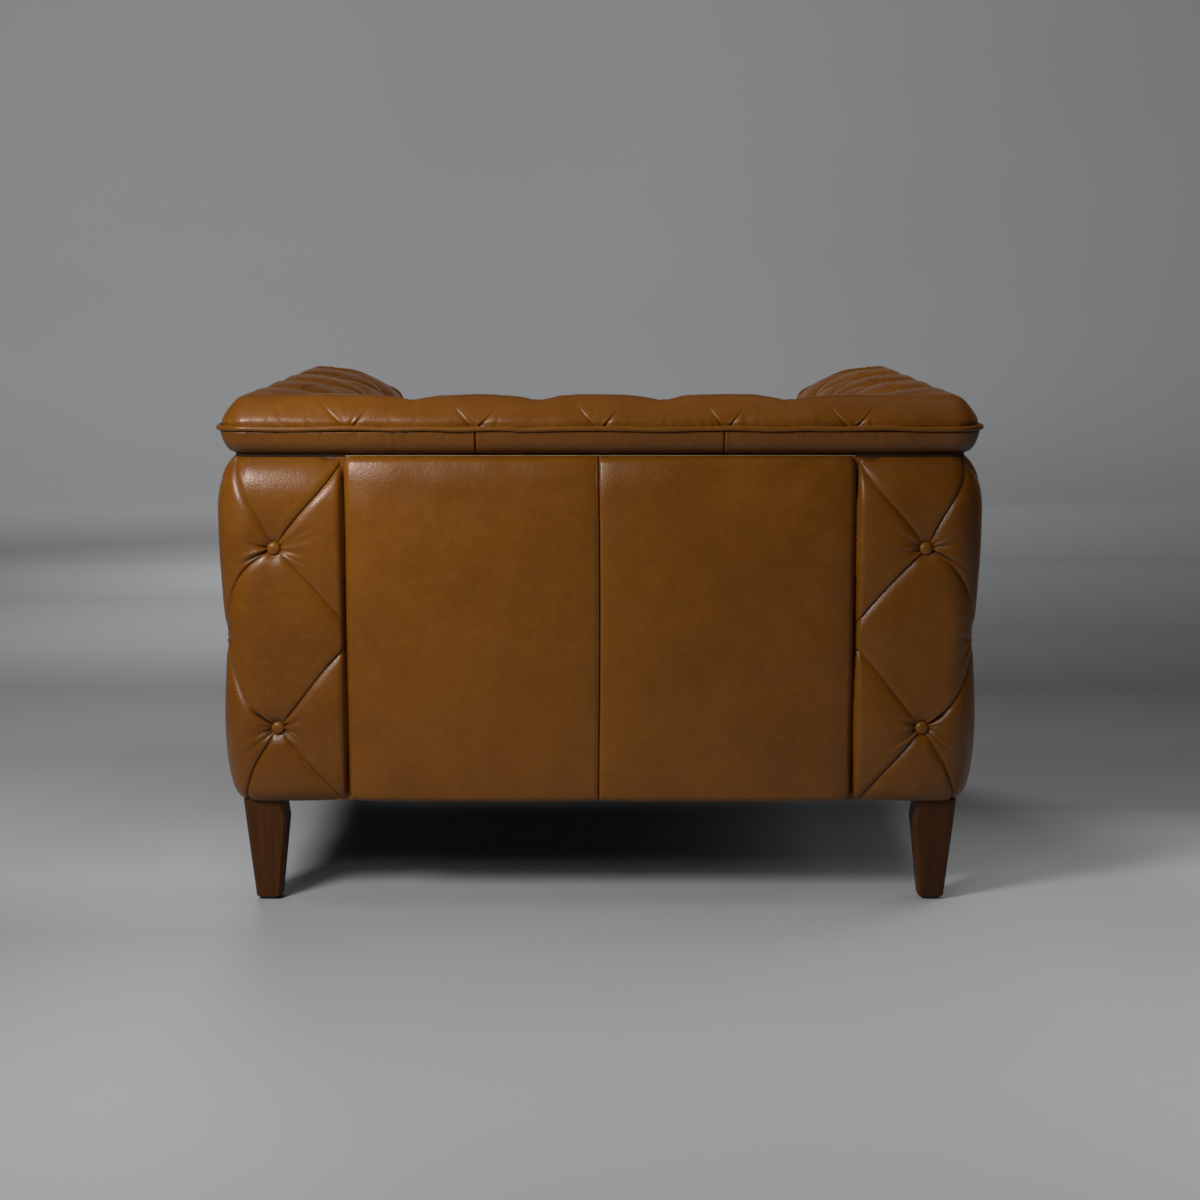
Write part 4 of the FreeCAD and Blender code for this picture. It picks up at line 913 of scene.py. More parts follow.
def band_underside_shade(points):
    """Painted shade on the band: a little all over, and more where it rolls under."""
    return 0.10 + 0.28 * (1 - bend(points[:, 2], NECK + 0.001, NECK + 0.016))


def band_top(s):
    """The band's top edge: level, and rounded in at the inner end of the arm's face."""
    x, _, _, wy = around(s)
    reach = WELT_TURN - WELT_RADIUS - 0.0005
    aside = np.clip(FACE_EDGE + WELT_TURN - x, 0.0, reach)
    bent = WELT_Z - WELT_TURN + np.sqrt(np.maximum(reach**2 - aside**2, 0.0))
    return np.where(wy < -0.99, np.clip(bent, NECK + 0.004, BAND_TOP), BAND_TOP)


BAND_START = BAND_SEAM - CREST_X        # s of the seam on the outer arm's path
BAND_RIPPLES = (0.023, 0.037, 0.061, 0.097, 0.15, 0.24)


def band_swell(s, share):
    """Soft vertical puckers, stronger towards the welt's stitching."""
    phases = np.random.default_rng(5).uniform(0, 2 * np.pi, len(BAND_RIPPLES))
    turns = (s + 0.02 * share) * 2 * np.pi
    ripple = sum(np.sin(turns / pitch + phase) for pitch, phase in zip(BAND_RIPPLES, phases))
    return 0.0006 + 0.00012 * ripple * (0.3 + 0.7 * share)


def seam_depth(edge):
    """How deep a seam draws the leather in, at a distance from it."""
    return SEAM_SINK * np.exp(-np.maximum(edge, 0) / SEAM_WIDTH)


def side_depth(s, share):
    """Depth of a side length of the band: swells, creases, and a lap beside its seams."""
    creased = pucker(s + 0.012 * share, (1 - share) * 0.03, 0.0, BAND_START, WALL_END, 9)
    edge = np.minimum(s - BAND_START, WALL_END - s)
    return band_swell(s, share) + creased + seam_depth(edge) - 0.0007 * hump(edge - 0.0030, 0.0014)


def middle_depth(s, share):
    """Depth of the band's middle length."""
    return band_swell(s, share) + seam_depth(BAND_SEAM - np.abs(s + CREST_X))


def build_band():
    """The band in its three lengths."""
    fine = 0.01
    side_s = np.unique(np.concatenate([
        BAND_START + np.linspace(0.0003, fine, 20), np.linspace(BAND_START + fine, WALL_END, 420),
        WALL_END - np.linspace(0.0, 0.02, 14),
    ]))
    left = band_piece("band_left", side_s, side_depth)
    outward(left, Vector((0.35, 0, 0.65)))
    middle_x = np.concatenate([
        np.linspace(-BAND_SEAM, -BAND_SEAM + fine, 20)[:-1],
        np.linspace(-BAND_SEAM + fine, BAND_SEAM - fine, 90),
        np.linspace(BAND_SEAM - fine, BAND_SEAM, 20)[1:],
    ])
    middle = band_piece("band_middle", middle_x - CREST_X, middle_depth)
    outward(middle, Vector((0, 0.3, 0.65)))
    right = mirrored(left, "band_right")
    for mesh in (left, middle, right):
        # the band's lower part gets painted shade
        add_piece(mesh.name, mesh, "chair", "cognac_leather", ["top_band"], shaded=band_underside_shade)


def face_out(z):
    """How far out the upright welt stands: it follows the leather of the arm's face."""
    leather = np.interp(z, wall_line[:, 1], wall_line[:, 0]) - HEM_LOSS * plump(z - HEM, HEM_REACH)
    return FRAME_Y + min(WELT_OUT, leather - 0.001)


def welt_path():
    """Points along the welt's left half, from the arm face's hem to the middle of the back."""
    out = FRAME_Y + WELT_OUT
    turn_x, turn_z = FACE_EDGE + WELT_TURN, WELT_Z - WELT_TURN
    points = [(FACE_EDGE, -face_out(z), z) for z in np.linspace(HEM + 0.0005, turn_z, 130)]
    for a in np.linspace(0, np.pi / 2, 12)[1:]:
        points.append((turn_x - WELT_TURN * math.cos(a), -out, turn_z + WELT_TURN * math.sin(a)))
    points += [(x, -out, WELT_Z) for x in np.linspace(turn_x, CREST_X, 32)[1:]]
    radius = CORNER + WELT_OUT
    for a in np.linspace(0, np.pi / 2, 22)[1:]:
        points.append((CREST_X + radius * math.sin(a), -CREST_Y - radius * math.cos(a), WELT_Z))
    points += [(FRAME_X + WELT_OUT, y, WELT_Z) for y in np.linspace(-CREST_Y, CREST_Y, 200)[1:]]
    for a in np.linspace(0, np.pi / 2, 22)[1:]:
        points.append((CREST_X + radius * math.cos(a), CREST_Y + radius * math.sin(a), WELT_Z))
    points += [(x, out, WELT_Z) for x in np.linspace(CREST_X, 0, 130)[1:]]
    return np.array(points)


def tube(points, radius, spokes=12):
    """Vertices and quads of a tube along points, with a radius at each point."""
    run = unit(np.gradient(points, axis=0))
    up = np.array([0.0, 0.0, 1.0])
    side = np.cross(run, up)
    weak = np.linalg.norm(side, axis=1) < 0.2
    side[weak] = np.cross(run[weak], np.array([0.0, 1.0, 0.0]))
    side = unit(side)
    for k in range(1, len(side)):
        if np.dot(side[k], side[k - 1]) < 0.0:
            side[k] = -side[k]
    over = unit(np.cross(side, run))
    angles = np.linspace(0, 2 * np.pi, spokes, endpoint=False)
    rings = [
        points + radius[:, None] * (math.cos(a) * side + math.sin(a) * over) for a in angles
    ]
    return np.stack(rings, axis=1).reshape(-1, 3), ring_quads(len(points), spokes)


def build_welt():
    """The piping round the top and down the arms' faces, its ends lapped."""
    half = welt_path()
    other = half[::-1][1:] * np.array([-1, 1, 1])
    path = np.concatenate([half, other])
    along = np.concatenate([[0], np.cumsum(np.linalg.norm(np.diff(path, axis=0), axis=1))])
    twist = 0.00016 * np.sin(along / WELT_TWIST * 2 * np.pi)
    radius = CORD + slow_waves(along, 0.0, 0.0006, 21) + twist
    level = path[:, 2] > 0.66
    path[:, 2] += slow_waves(along, 0.0, 0.0018, 22) * level
    past = (WELT_JOIN - path[:, 0]) * (path[:, 1] > CREST_Y)
    lapped = bend(past, 0.0, 0.002) * (1 - bend(past, 0.002, 0.10))
    path[:, 2] -= 0.0012 * lapped
    radius = radius + 0.0003 * bend(-past, 0.0, 0.001) * (1 - bend(-past, 0.006, 0.03)) * level
    verts, faces = tube(path, np.minimum(radius, CORD_MOST))
    mesh = new_mesh("welt", verts, faces)
    facing(mesh)
    add_piece("welt", mesh, "chair", "leather_piping", ["top_welt"])


def cushioned(gap):
    """Thickness lost at a distance from a panel's edge: a broad crown and a fuller roll."""
    return 0.55 * plump(gap, 0.11) + 0.60 * plump(gap, 0.040)


PANEL_CORNER = 0.012                    # radius of a panel's corners in its own plane
PANEL_LINES = (16, 120, 90)             # grid lines at each edge, across and up between them


def panel_lines(half, z0, z1, radius, seam):
    """x and z of a panel's grid lines, closer together at its edges and its seam."""
    fine, across, up = PANEL_LINES
    edge = radius * 1.4
    rim = edge * np.linspace(0, 1, fine) ** 1.6

    def spread(low, high, coarse):
        parts = [low + rim, np.linspace(low + edge, high - edge, coarse), high - rim]
        return np.unique(np.round(np.concatenate(parts), 7))

    xs = spread(-half, half, across)
    if seam:
        xs = np.unique(np.concatenate([xs, np.linspace(-0.012, 0.012, 49)]))
    return xs, spread(z0, z1, up)


def seam_relief(x, z):
    """Depth at a panel's middle seam: a sunk line, the lap beside it and stitch puckers."""
    wobble = 0.0012 * np.sin(z * 9.0 + 1.0) + 0.001
    off = np.abs(x - wobble)
    lap = 0.0009 * hump(x - wobble - 0.0027, 0.0012)
    stitches = 0.00018 * np.sin(z / 0.009 * 2 * np.pi) * hump(off - 0.005, 0.004)
    return 0.0034 * np.exp(-off / 0.0011) - lap + stitches


def panel_fall(x, z, half, z0, z1, radius, puff, seam):
    """How far a panel's points lie under its crown: it is full, and its edges roll in."""
    dx, dz = half - np.abs(x), np.minimum(z - z0, z1 - z)
    cx, cz = np.maximum(PANEL_CORNER - dx, 0), np.maximum(PANEL_CORNER - dz, 0)
    edge = np.where((cx > 0) & (cz > 0), PANEL_CORNER - np.hypot(cx, cz), np.minimum(dx, dz))
    fall = radius * round_off(1 - np.clip(edge / radius, 0, 1))
    top = cushioned(z1 - z) + 0.40 * plump(z1 - z, 0.14)
    top = top * (0.80 + 0.45 * plump(dx, 0.12))
    middle = 0.0
    if seam:
        top = top * (1 + 0.45 * plump(np.abs(x), 0.10))
        middle = 0.30 * plump(np.abs(x), 0.06) + 0.14 * plump(np.abs(x), 0.022)
    crown = np.hypot(cushioned(dx), top) + 0.4 * cushioned(z - z0) + middle
    fall = fall + puff * crown + 0.0005 + slow_waves(x, z, 0.0011, 31)
    return fall + seam_relief(x, z) if seam else fall


def panel_mesh(name, spans, face, depth, radius, puff, seam):
    """A plump panel, half * 2 wide from z0 to z1, with its crown at y = face. It goes in by
    depth, which is negative for a panel that faces the rear."""
    xs, zs = panel_lines(*spans, radius, seam)
    x, z = np.meshgrid(xs, zs, indexing="ij")
    fall = np.minimum(panel_fall(x, z, *spans, radius, puff, seam), abs(depth))
    y = face + math.copysign(1, depth) * fall
    points = np.stack([x, y, z], axis=2).reshape(-1, 3)
    mesh = new_mesh(name, points, grid_quads(np.arange(x.size).reshape(x.shape)))
    with editing(mesh) as bm:
        for v in extruded_rim(bm):
            v.co.y = face + depth
    return mesh


def build_panels():
    """The outside back panel and the front border."""
    low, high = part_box("outside_back_cover")
    spans = (high.x, HEM + 0.0008, high.z - 0.002)
    back = panel_mesh("outside_back", spans, high.y, low.y - high.y, 0.009, 0.0088, True)
    outward(back, Vector((0, 0.3, 0.4)))
    low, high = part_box("front_border_cover")
    spans = (high.x, low.z + 0.0005, high.z)
    border = panel_mesh("front_border", spans, low.y, 0.0155, 0.008, 0.004, False)
    outward(border, Vector((0, -0.3, 0.22)))
    for mesh, fill in ((back, 0.7), (border, 0.8)):
        nodes = [f"{mesh.name}_cover", f"{mesh.name}_foam"]
        add_piece(mesh.name, mesh, "chair", "cognac_leather", nodes)


# ---- loose seat cushion ----
CUSHION_X, CUSHION_Y = 0.3075, (-0.428, 0.1895)
CUSHION_LOW, CUSHION_SEAM, CUSHION_EDGE = 0.2903, 0.2943, 0.4460
CUSHION_CORNER = 0.030
CUSHION_CROWN = 0.013
PANEL_GRID = 72
SIDE_ROWS = 18
CUSHION_CORD = 0.0038                   # radius of the cushion's piping
CLOTH_FRAMES, CLOTH_CAP = 20, 0.006     # how long the cloth runs, and the most a vertex moves
CLOTH = {
    "quality": 6, "mass": 0.4, "tension_stiffness": 25, "compression_stiffness": 25,
    "shear_stiffness": 12, "bending_stiffness": 2.5, "vertex_group_mass": "held",
    "shrink_min": -0.022, "use_pressure": True, "uniform_pressure_force": 4.0,
}
ZIP_Z, ZIP_HALF, ZIP_TALL = 0.374, 0.266, 0.012
ZIP_SINK = 0.0042                       # the zip's bed under the cushion's rear face


def rounded_square(u, v):
    """Points over the cushion's plan for u, v from -1 to 1, its corners rounded."""
    middle_y = (CUSHION_Y[0] + CUSHION_Y[1]) / 2
    half_y = (CUSHION_Y[1] - CUSHION_Y[0]) / 2
    x, y = u * CUSHION_X, v * half_y
    ox = np.maximum(np.abs(x) - (CUSHION_X - CUSHION_CORNER), 0.0)
    oy = np.maximum(np.abs(y) - (half_y - CUSHION_CORNER), 0.0)
    reach = np.maximum(np.hypot(ox, oy), 1e-9)
    pull = np.where((ox > 0) & (oy > 0), np.maximum(ox, oy) / reach, 1.0)
    x = x - np.sign(x) * ox * (1 - pull)
    y = y - np.sign(y) * oy * (1 - pull)
    return x, y + middle_y


def square_rim(n):
    """Indices (i, j) round the edge of an n by n grid, in order."""
    return (
        [(i, 0) for i in range(n - 1)] + [(n - 1, j) for j in range(n - 1)]
        + [(i, n - 1) for i in range(n - 1, 0, -1)] + [(0, j) for j in range(n - 1, 0, -1)]
    )


def cushion_shell():
    """Vertices and quads of the cushion, and the numbers of its seams' and underside's vertices."""
    n = PANEL_GRID
    line = np.linspace(-1, 1, n)
    line = line + 0.04 * np.sin(np.pi * line)
    u, v = np.meshgrid(line, line, indexing="ij")
    x, y = rounded_square(u, v)
    crown = CUSHION_CROWN * ((1 - np.abs(u) ** 4) * (1 - np.abs(v) ** 4)) ** 0.6
    top = np.stack([x, y, CUSHION_EDGE + crown], axis=2).reshape(-1, 3)
    under = np.stack([x, y, np.full_like(x, CUSHION_SEAM)], axis=2).reshape(-1, 3)
    sink = (1 - np.abs(u) ** 12) * (1 - np.abs(v) ** 12)
    under[:, 2] -= (CUSHION_SEAM - CUSHION_LOW - 0.0004) * sink.ravel()
    grid = np.arange(n * n).reshape(n, n)
    quads = grid_quads(grid)
    rim = np.array([grid[i, j] for i, j in square_rim(n)])
    verts, faces = [top, under], [quads, quads[:, ::-1] + n * n]
    rows = [rim + n * n]
    for k in range(1, SIDE_ROWS):
        share = k / SIDE_ROWS
        ring_points = under[rim] * (1 - share) + top[rim] * share
        bulge = 0.0015 * math.sin(math.pi * share)
        middle = np.array([0.0, (CUSHION_Y[0] + CUSHION_Y[1]) / 2])
        ring_points[:, :2] += unit(ring_points[:, :2] - middle) * bulge
        rows.append(np.arange(len(rim)) + 2 * n * n + (k - 1) * len(rim))
        verts.append(ring_points)
    rows.append(rim)
    for low, high in zip(rows, rows[1:]):
        faces.append(np.stack([low, np.roll(low, -1), np.roll(high, -1), high], axis=1))
    pinned = np.unique(np.concatenate([rim, np.arange(n * n, 2 * n * n)]))
    return np.concatenate(verts), np.concatenate(faces), pinned


def blow_up(obj, pinned, cap):
    """Inflates the cushion's cover as cloth, its seams held, and keeps the result. No vertex
    moves farther than cap."""
    rest = get_points(obj.data)
    held = obj.vertex_groups.new(name="held")
    held.add([int(k) for k in pinned], 1.0, "REPLACE")
    cloth = obj.modifiers.new("cloth", "CLOTH")
    for key, value in CLOTH.items():
        setattr(cloth.settings, key, value)
    cloth.settings.effector_weights.gravity = 0.0
    cloth.point_cache.frame_start, cloth.point_cache.frame_end = 1, CLOTH_FRAMES
    scene = bpy.context.scene
    for number in range(1, CLOTH_FRAMES + 1):
        scene.frame_set(number)
    shaped = obj.evaluated_get(bpy.context.evaluated_depsgraph_get())
    moved = get_points(shaped.data) - rest
    obj.modifiers.remove(cloth)
    obj.vertex_groups.remove(held)
    scene.frame_set(1)
    size = np.linalg.norm(moved, axis=1, keepdims=True)
    moved = moved * np.tanh(size / cap) * cap / np.maximum(size, 1e-9)
    set_points(obj.data, rest + moved)


def subdivided(mesh):
    """One Catmull-Clark subdivision of a mesh."""
    obj = new_object("subdivided", mesh)
    modifier = obj.modifiers.new("smooth", "SUBSURF")
    modifier.levels = modifier.render_levels = 1
    shaped = obj.evaluated_get(bpy.context.evaluated_depsgraph_get())
    made = bpy.data.meshes.new_from_object(shaped)
    bpy.data.objects.remove(obj)
    return made


def sink_zip(mesh):
    """The sunk bed of the zip in the cushion's rear, with its leather lips."""
    for v in mesh.vertices:
        x, y, z = v.co
        near = min(abs(z - CUSHION_EDGE), abs(z - CUSHION_SEAM))
        if y > CUSHION_Y[1] - 0.012 and near > 0.012:
            aside = max(abs(x) - ZIP_HALF, abs(z - ZIP_Z) - ZIP_TALL)
            sunk = 1 - bend(aside, 0.001, 0.005)
            drop = min(CUSHION_Y[1] - ZIP_SINK - y, 0.0) * sunk * sunk * (3 - 2 * sunk)
            v.co.y = y + drop + 0.0006 * hump(aside - 0.007, 0.003)


def build_cushion():
    """The loose cushion, blown up as cloth, and its piping."""
    verts, faces, pinned = cushion_shell()
    mesh = new_mesh("cushion_shell", verts, faces)
    obj = new_object("cushion_shell", mesh)
    blow_up(obj, pinned, CLOTH_CAP)
    bpy.data.objects.remove(obj)
    mesh = subdivided(mesh)
    mesh.name = "seat_cushion"
    sink_zip(mesh)
    outward(mesh, Vector((0, -0.12, 0.37)))
    cushion = add_piece("seat_cushion", mesh, "seat_cushion", "cognac_leather",
                        ["seat_cushion_cover", "seat_cushion_foam"])
    build_cushion_welts()


def build_cushion_welts():
    """The piping at the cushion's lower and upper seams."""
    n = 2 * PANEL_GRID
    line = np.linspace(-1, 1, n)
    u, v = np.meshgrid(line, line, indexing="ij")
    x, y = rounded_square(u, v)
    rim = np.array([(x[i, j], y[i, j]) for i, j in square_rim(n)])
    corners, polygons = [], []
    for k, z in enumerate((CUSHION_SEAM, CUSHION_EDGE)):
        path = np.column_stack([rim, np.full(len(rim), z)])
        along = np.linspace(0, 2.4, len(path))
        path[:, 2] += slow_waves(along, 0.0, 0.0006, 41 + k) * (1 if k else 0)
        closed = np.concatenate([path[-1:], path, path[:2]])
        verts, faces = tube(closed, np.full(len(closed), CUSHION_CORD))
        polygons += [tuple(i + len(corners) for i in f) for f in faces]
        corners += list(verts)
    mesh = new_mesh("cushion_welts", corners, polygons)
    facing(mesh)
    add_piece("cushion_welts", mesh, "seat_cushion", "leather_piping", ["seat_cushion_welts"])


# ---- cloths under and inside the seat ----
CAMBRIC, CAMBRIC_GRID, CAMBRIC_SAG = 0.0008, 0.0095, 0.0045  # thickness, grid step, sag
LEG_ROOM = 0.049                        # side of the square left out of the cloth at each leg
DECK_GRID = 0.008
QUILT_PITCH = 0.11                      # from one sewn row of the deck pad to the next
DECK_NOTCH = (0.3495, -0.378)           # |x| and y where the pad makes room for the facing boards


def grid_sheet(name, x, y, height, thick, step, hole):
    """A thin closed sheet over a rectangle, without the parts where hole(x, y) is true, and
    its area."""
    xs = np.linspace(*x, int((x[1] - x[0]) / step) + 1)
    ys = np.linspace(*y, int((y[1] - y[0]) / step) + 1)
    gx, gy = np.meshgrid(xs, ys, indexing="ij")
    z = height(gx, gy)
    top = np.stack([gx, gy, z + thick], axis=2).reshape(-1, 3)
    low = np.stack([gx, gy, z], axis=2).reshape(-1, 3)
    ny = len(ys)
    faces = []
    for i in range(len(xs) - 1):
        for j in range(ny - 1):
            if not hole((xs[i] + xs[i + 1]) / 2, (ys[j] + ys[j + 1]) / 2):
                faces.append((i * ny + j, (i + 1) * ny + j, (i + 1) * ny + j + 1, i * ny + j + 1))
    under = [tuple(k + len(top) for k in reversed(face)) for face in faces]
    mesh = new_mesh(name, np.concatenate([top, low]), faces + under)
    with editing(mesh) as bm:
        bmesh.ops.delete(bm, geom=[v for v in bm.verts if not v.link_faces], context="VERTS")
        bmesh.ops.bridge_loops(bm, edges=[e for e in bm.edges if e.is_boundary])
        bmesh.ops.recalc_face_normals(bm, faces=bm.faces[:])
    return mesh, len(faces) * (xs[1] - xs[0]) * (ys[1] - ys[0])


def build_dust_cloth():
    """The cambric under the seat, which sags between its edges."""
    low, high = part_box("dust_cover")

    def sag(gx, gy):
        edge = np.minimum(high.x - np.abs(gx), high.y - np.abs(gy))
        loose = 1 - np.exp(-edge / 0.05)
        return low.z + 0.0001 - CAMBRIC_SAG * loose + slow_waves(gx, gy, 0.002, 51) * loose

    def at_leg(x, y):
        return abs(x) > high.x - LEG_ROOM and abs(y) > high.y - LEG_ROOM

    x, y = (low.x, high.x), (low.y, high.y)
    mesh, area = grid_sheet("dust_cloth", x, y, sag, CAMBRIC, CAMBRIC_GRID, at_leg)
    cloth = add_piece("dust_cloth", mesh, "chair", "dust_cloth", ["dust_cover"], folds=False)


def build_deck_pad():
    """The quilted pad over the springs."""
    low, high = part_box("seat_deck_pad")

    def quilted(gx, gy):
        edge = np.minimum(np.minimum(high.x - np.abs(gx), gy - low.y), high.y - gy)
        crown = 0.006 * np.exp(-edge / 0.014)
        off_row = np.abs((gy / QUILT_PITCH + 0.5) % 1 - 0.5) * QUILT_PITCH
        rows = 0.0022 * np.exp(-off_row / 0.006)
        return low.z - crown - rows - 0.0006 + slow_waves(gx, gy, 0.0012, 52)

    def at_facing(x, y):
        return abs(x) > DECK_NOTCH[0] and y < DECK_NOTCH[1]

    x, y = (low.x, high.x), (low.y, high.y)
    mesh, _ = grid_sheet("deck_pad", x, y, quilted, high.z - low.z, DECK_GRID, at_facing)
    add_piece("deck_pad", mesh, "chair", "felt", ["seat_deck_pad"], folds=False)


# ---- materials ----
class Nodes:
    """A small helper for writing a material's nodes."""

    def __init__(self, name):
        self.material = bpy.data.materials.new(name)
        self.material.use_nodes = True
        self.tree = self.material.node_tree
        self.shader = self.tree.nodes["Principled BSDF"]
        self.coords = self.add("ShaderNodeTexCoord").outputs["Object"]

    def add(self, kind, **settings):
        node = self.tree.nodes.new(kind)
        for key, value in settings.items():
            setattr(node, key, value)
        return node

    def put(self, value, socket):
        """Links a node's output to a socket, or sets the socket's own colour or number."""
        if isinstance(value, tuple):
            socket.default_value = (*value, 1.0)
        elif isinstance(value, (int, float)):
            socket.default_value = value
        else:
            self.tree.links.new(value, socket)

    def axes(self):
        node = self.add("ShaderNodeSeparateXYZ")
        self.put(self.coords, node.inputs["Vector"])
        return node.outputs

    def stretched(self, scale):
        node = self.add("ShaderNodeMapping")
        node.inputs["Scale"].default_value = scale
        self.put(self.coords, node.inputs["Vector"])
        return node.outputs["Vector"]

    def noise(self, scale, detail=3.0, rough=0.55, vector=None, distortion=0.0):
        node = self.add("ShaderNodeTexNoise")
        node.inputs["Scale"].default_value = scale
        node.inputs["Detail"].default_value = detail
        node.inputs["Roughness"].default_value = rough
        node.inputs["Distortion"].default_value = distortion
        self.put(vector or self.coords, node.inputs["Vector"])
        return node.outputs["Fac"]

    def cells(self, scale):
        node = self.add("ShaderNodeTexVoronoi", feature="F1")
        node.inputs["Scale"].default_value = scale
        self.put(self.coords, node.inputs["Vector"])
        return node.outputs["Distance"]

    def between(self, value, low, high, out_low=0.0, out_high=1.0):
        node = self.add("ShaderNodeMapRange")
        ends = {"From Min": low, "From Max": high, "To Min": out_low, "To Max": out_high}
        for key, number in ends.items():
            node.inputs[key].default_value = number
        self.put(value, node.inputs["Value"])
        return node.outputs["Result"]

    def math(self, kind, a, b):
        node = self.add("ShaderNodeMath", operation=kind)
        for value, socket in zip((a, b), node.inputs):
            self.put(value, socket)
        return node.outputs["Value"]

    def mix(self, factor, a, b):
        node = self.add("ShaderNodeMix", data_type="RGBA")
        colours = [s for s in node.inputs if s.type == "RGBA"]
        for value, socket in zip((factor, a, b), (node.inputs[0], *colours)):
            self.put(value, socket)
        return [s for s in node.outputs if s.type == "RGBA"][0]

    def attribute(self, name):
        return self.add("ShaderNodeAttribute", attribute_name=name).outputs["Fac"]

    def bump(self, height, distance, strength=1.0, under=None):
        node = self.add("ShaderNodeBump")
        node.inputs["Strength"].default_value = strength
        node.inputs["Distance"].default_value = distance
        self.put(height, node.inputs["Height"])
        if under is not None:
            self.put(under, node.inputs["Normal"])
        return node.outputs["Normal"]

    def finish(self, colour, roughness, normal=None, **numbers):
        self.put(colour, self.shader.inputs["Base Color"])
        self.put(roughness, self.shader.inputs["Roughness"])
        if normal is not None:
            self.put(normal, self.shader.inputs["Normal"])
        for key, value in numbers.items():
            self.shader.inputs[key.replace("_", " ")].default_value = value
        return self.material


def tint(r, g, b):
    """An sRGB colour from 0-255 numbers, as linear light."""
    def linear(c):
        c /= 255.0
        return c / 12.92 if c <= 0.04045 else ((c + 0.055) / 1.055) ** 2.4
    return tuple(linear(c) for c in (r, g, b))


def leather(name, tone, light, dark, deep):
    """Aniline leather: a slowly changing tone, painted shade in the creases and hollows, lighter
    ridges, fine grain.
    """
    m = Nodes(name)
    tone, light, dark, deep = (tint(*colour) for colour in (tone, light, dark, deep))
    cloud = m.noise(3.2, 3.0, 0.5, distortion=0.3)
    patch = m.noise(15.0, 4.0, 0.55, distortion=0.5)
    mottle = m.noise(62.0, 3.0, 0.6, distortion=0.4)
    speck = m.noise(260.0, 3.0, 0.6)
    colour = m.mix(m.between(cloud, 0.35, 0.65), dark, tone)
    colour = m.mix(m.between(patch, 0.42, 0.75, 0.0, 0.24), colour, light)
    colour = m.mix(m.between(patch, 0.50, 0.25, 0.0, 0.18), colour, dark)
    colour = m.mix(m.between(mottle, 0.48, 0.70, 0.0, 0.30), colour, dark)
    colour = m.mix(m.between(mottle, 0.46, 0.30, 0.0, 0.22), colour, light)
    colour = m.mix(m.between(speck, 0.50, 0.78, 0.0, 0.30), colour, dark)
    hollow = m.attribute("hollow")
    # painted shade: the hollows darken towards deep
    colour = m.mix(m.between(hollow, 0.05, 0.50, 0.0, 0.92), colour, deep)
    colour = m.mix(m.between(hollow, -0.08, -0.50, 0.0, 0.35), colour, light)
    grain = m.cells(780.0)
    pores = m.noise(1300.0, 2.0, 0.5)
    soft = m.noise(70.0, 3.0, 0.5, distortion=0.6)
    height = m.math("ADD", m.math("MULTIPLY", grain, 0.6), m.math("MULTIPLY", pores, 0.4))
    normal = m.bump(soft, 0.0010, 0.30)
    normal = m.bump(m.cells(340.0), 0.0004, 0.35, normal)
    normal = m.bump(height, 0.00016, 0.55, normal)
    rough = m.between(m.noise(30.0, 3.0, 0.6), 0.3, 0.7, 0.30, 0.38)
    rough = m.math("MAXIMUM", rough, m.between(hollow, 0.30, 0.80, 0.30, 0.95))
    return m.finish(colour, rough, normal, Specular_IOR_Level=0.42)


def wood(name, light, dark, scale, gloss):
    """Wood with its grain along Z, as bands and fine pores."""
    m = Nodes(name)
    light, dark = tint(*light), tint(*dark)
    across, along = 26.0 * scale, 1.6 * scale
    bands = m.stretched((across, across, along))
    rings = m.noise(1.0, 5.0, 0.6, vector=bands, distortion=1.4)
    across, along = 420.0 * scale, 14.0 * scale
    pores = m.noise(1.0, 3.0, 0.7, vector=m.stretched((across, across, along)))
    colour = m.mix(m.between(rings, 0.32, 0.70), dark, light)
    colour = m.mix(m.between(pores, 0.50, 0.72, 0.0, 0.5), colour, dark)
    rough = m.between(rings, 0.3, 0.7, gloss + 0.1, gloss)
    return m.finish(colour, rough, m.bump(pores, 0.00025, 0.6), Specular_IOR_Level=0.25)


def weave(name, light, dark, pitch, depth):
    """A plain weave of threads, from crossed waves in the piece's own space."""
    m = Nodes(name)
    light, dark = tint(*light), tint(*dark)
    axes = m.axes()
    waves = []
    for axis in ("X", "Y"):
        place = m.math("ADD", axes[axis], axes["Z"])
        waves.append(m.math("SINE", m.math("MULTIPLY", place, 2 * math.pi / pitch), 0))
    thread = m.math("MULTIPLY", *waves)
    uneven = m.noise(90.0, 4.0, 0.6)
    colour = m.mix(m.between(thread, -1, 1, 0.2, 0.8), dark, light)
    colour = m.mix(m.between(uneven, 0.4, 0.7, 0.0, 0.4), colour, dark)
    return m.finish(colour, 0.9, m.bump(thread, depth, 0.6), Sheen_Weight=0.2)


def speckled(name, light, dark, scale, rough, depth, metal=0.0):
    """A plain stuff with a speckle and a fine unevenness, such as foam, board, felt or metal."""
    m = Nodes(name)
    light, dark = tint(*light), tint(*dark)
    speck = m.noise(scale, 4.0, 0.65)
    broad = m.noise(scale / 14, 3.0, 0.6)
    colour = m.mix(m.between(speck, 0.35, 0.68), dark, light)
    colour = m.mix(m.between(broad, 0.4, 0.75, 0.0, 0.35), colour, dark)
    rough = m.between(broad, 0.3, 0.7, rough - 0.05, rough + 0.07)
    return m.finish(colour, rough, m.bump(speck, depth, 0.6), Metallic=metal)


# Colours are sRGB. Leather: tone, light, dark, and deep, the painted shade in creases and hollows.
LEATHERS = {
    "cognac_leather": ((138, 82, 13), (156, 98, 23), (119, 68, 8), (24, 11, 3)),
    "leather_piping": ((126, 74, 13), (146, 91, 22), (102, 58, 8), (26, 12, 3)),
}
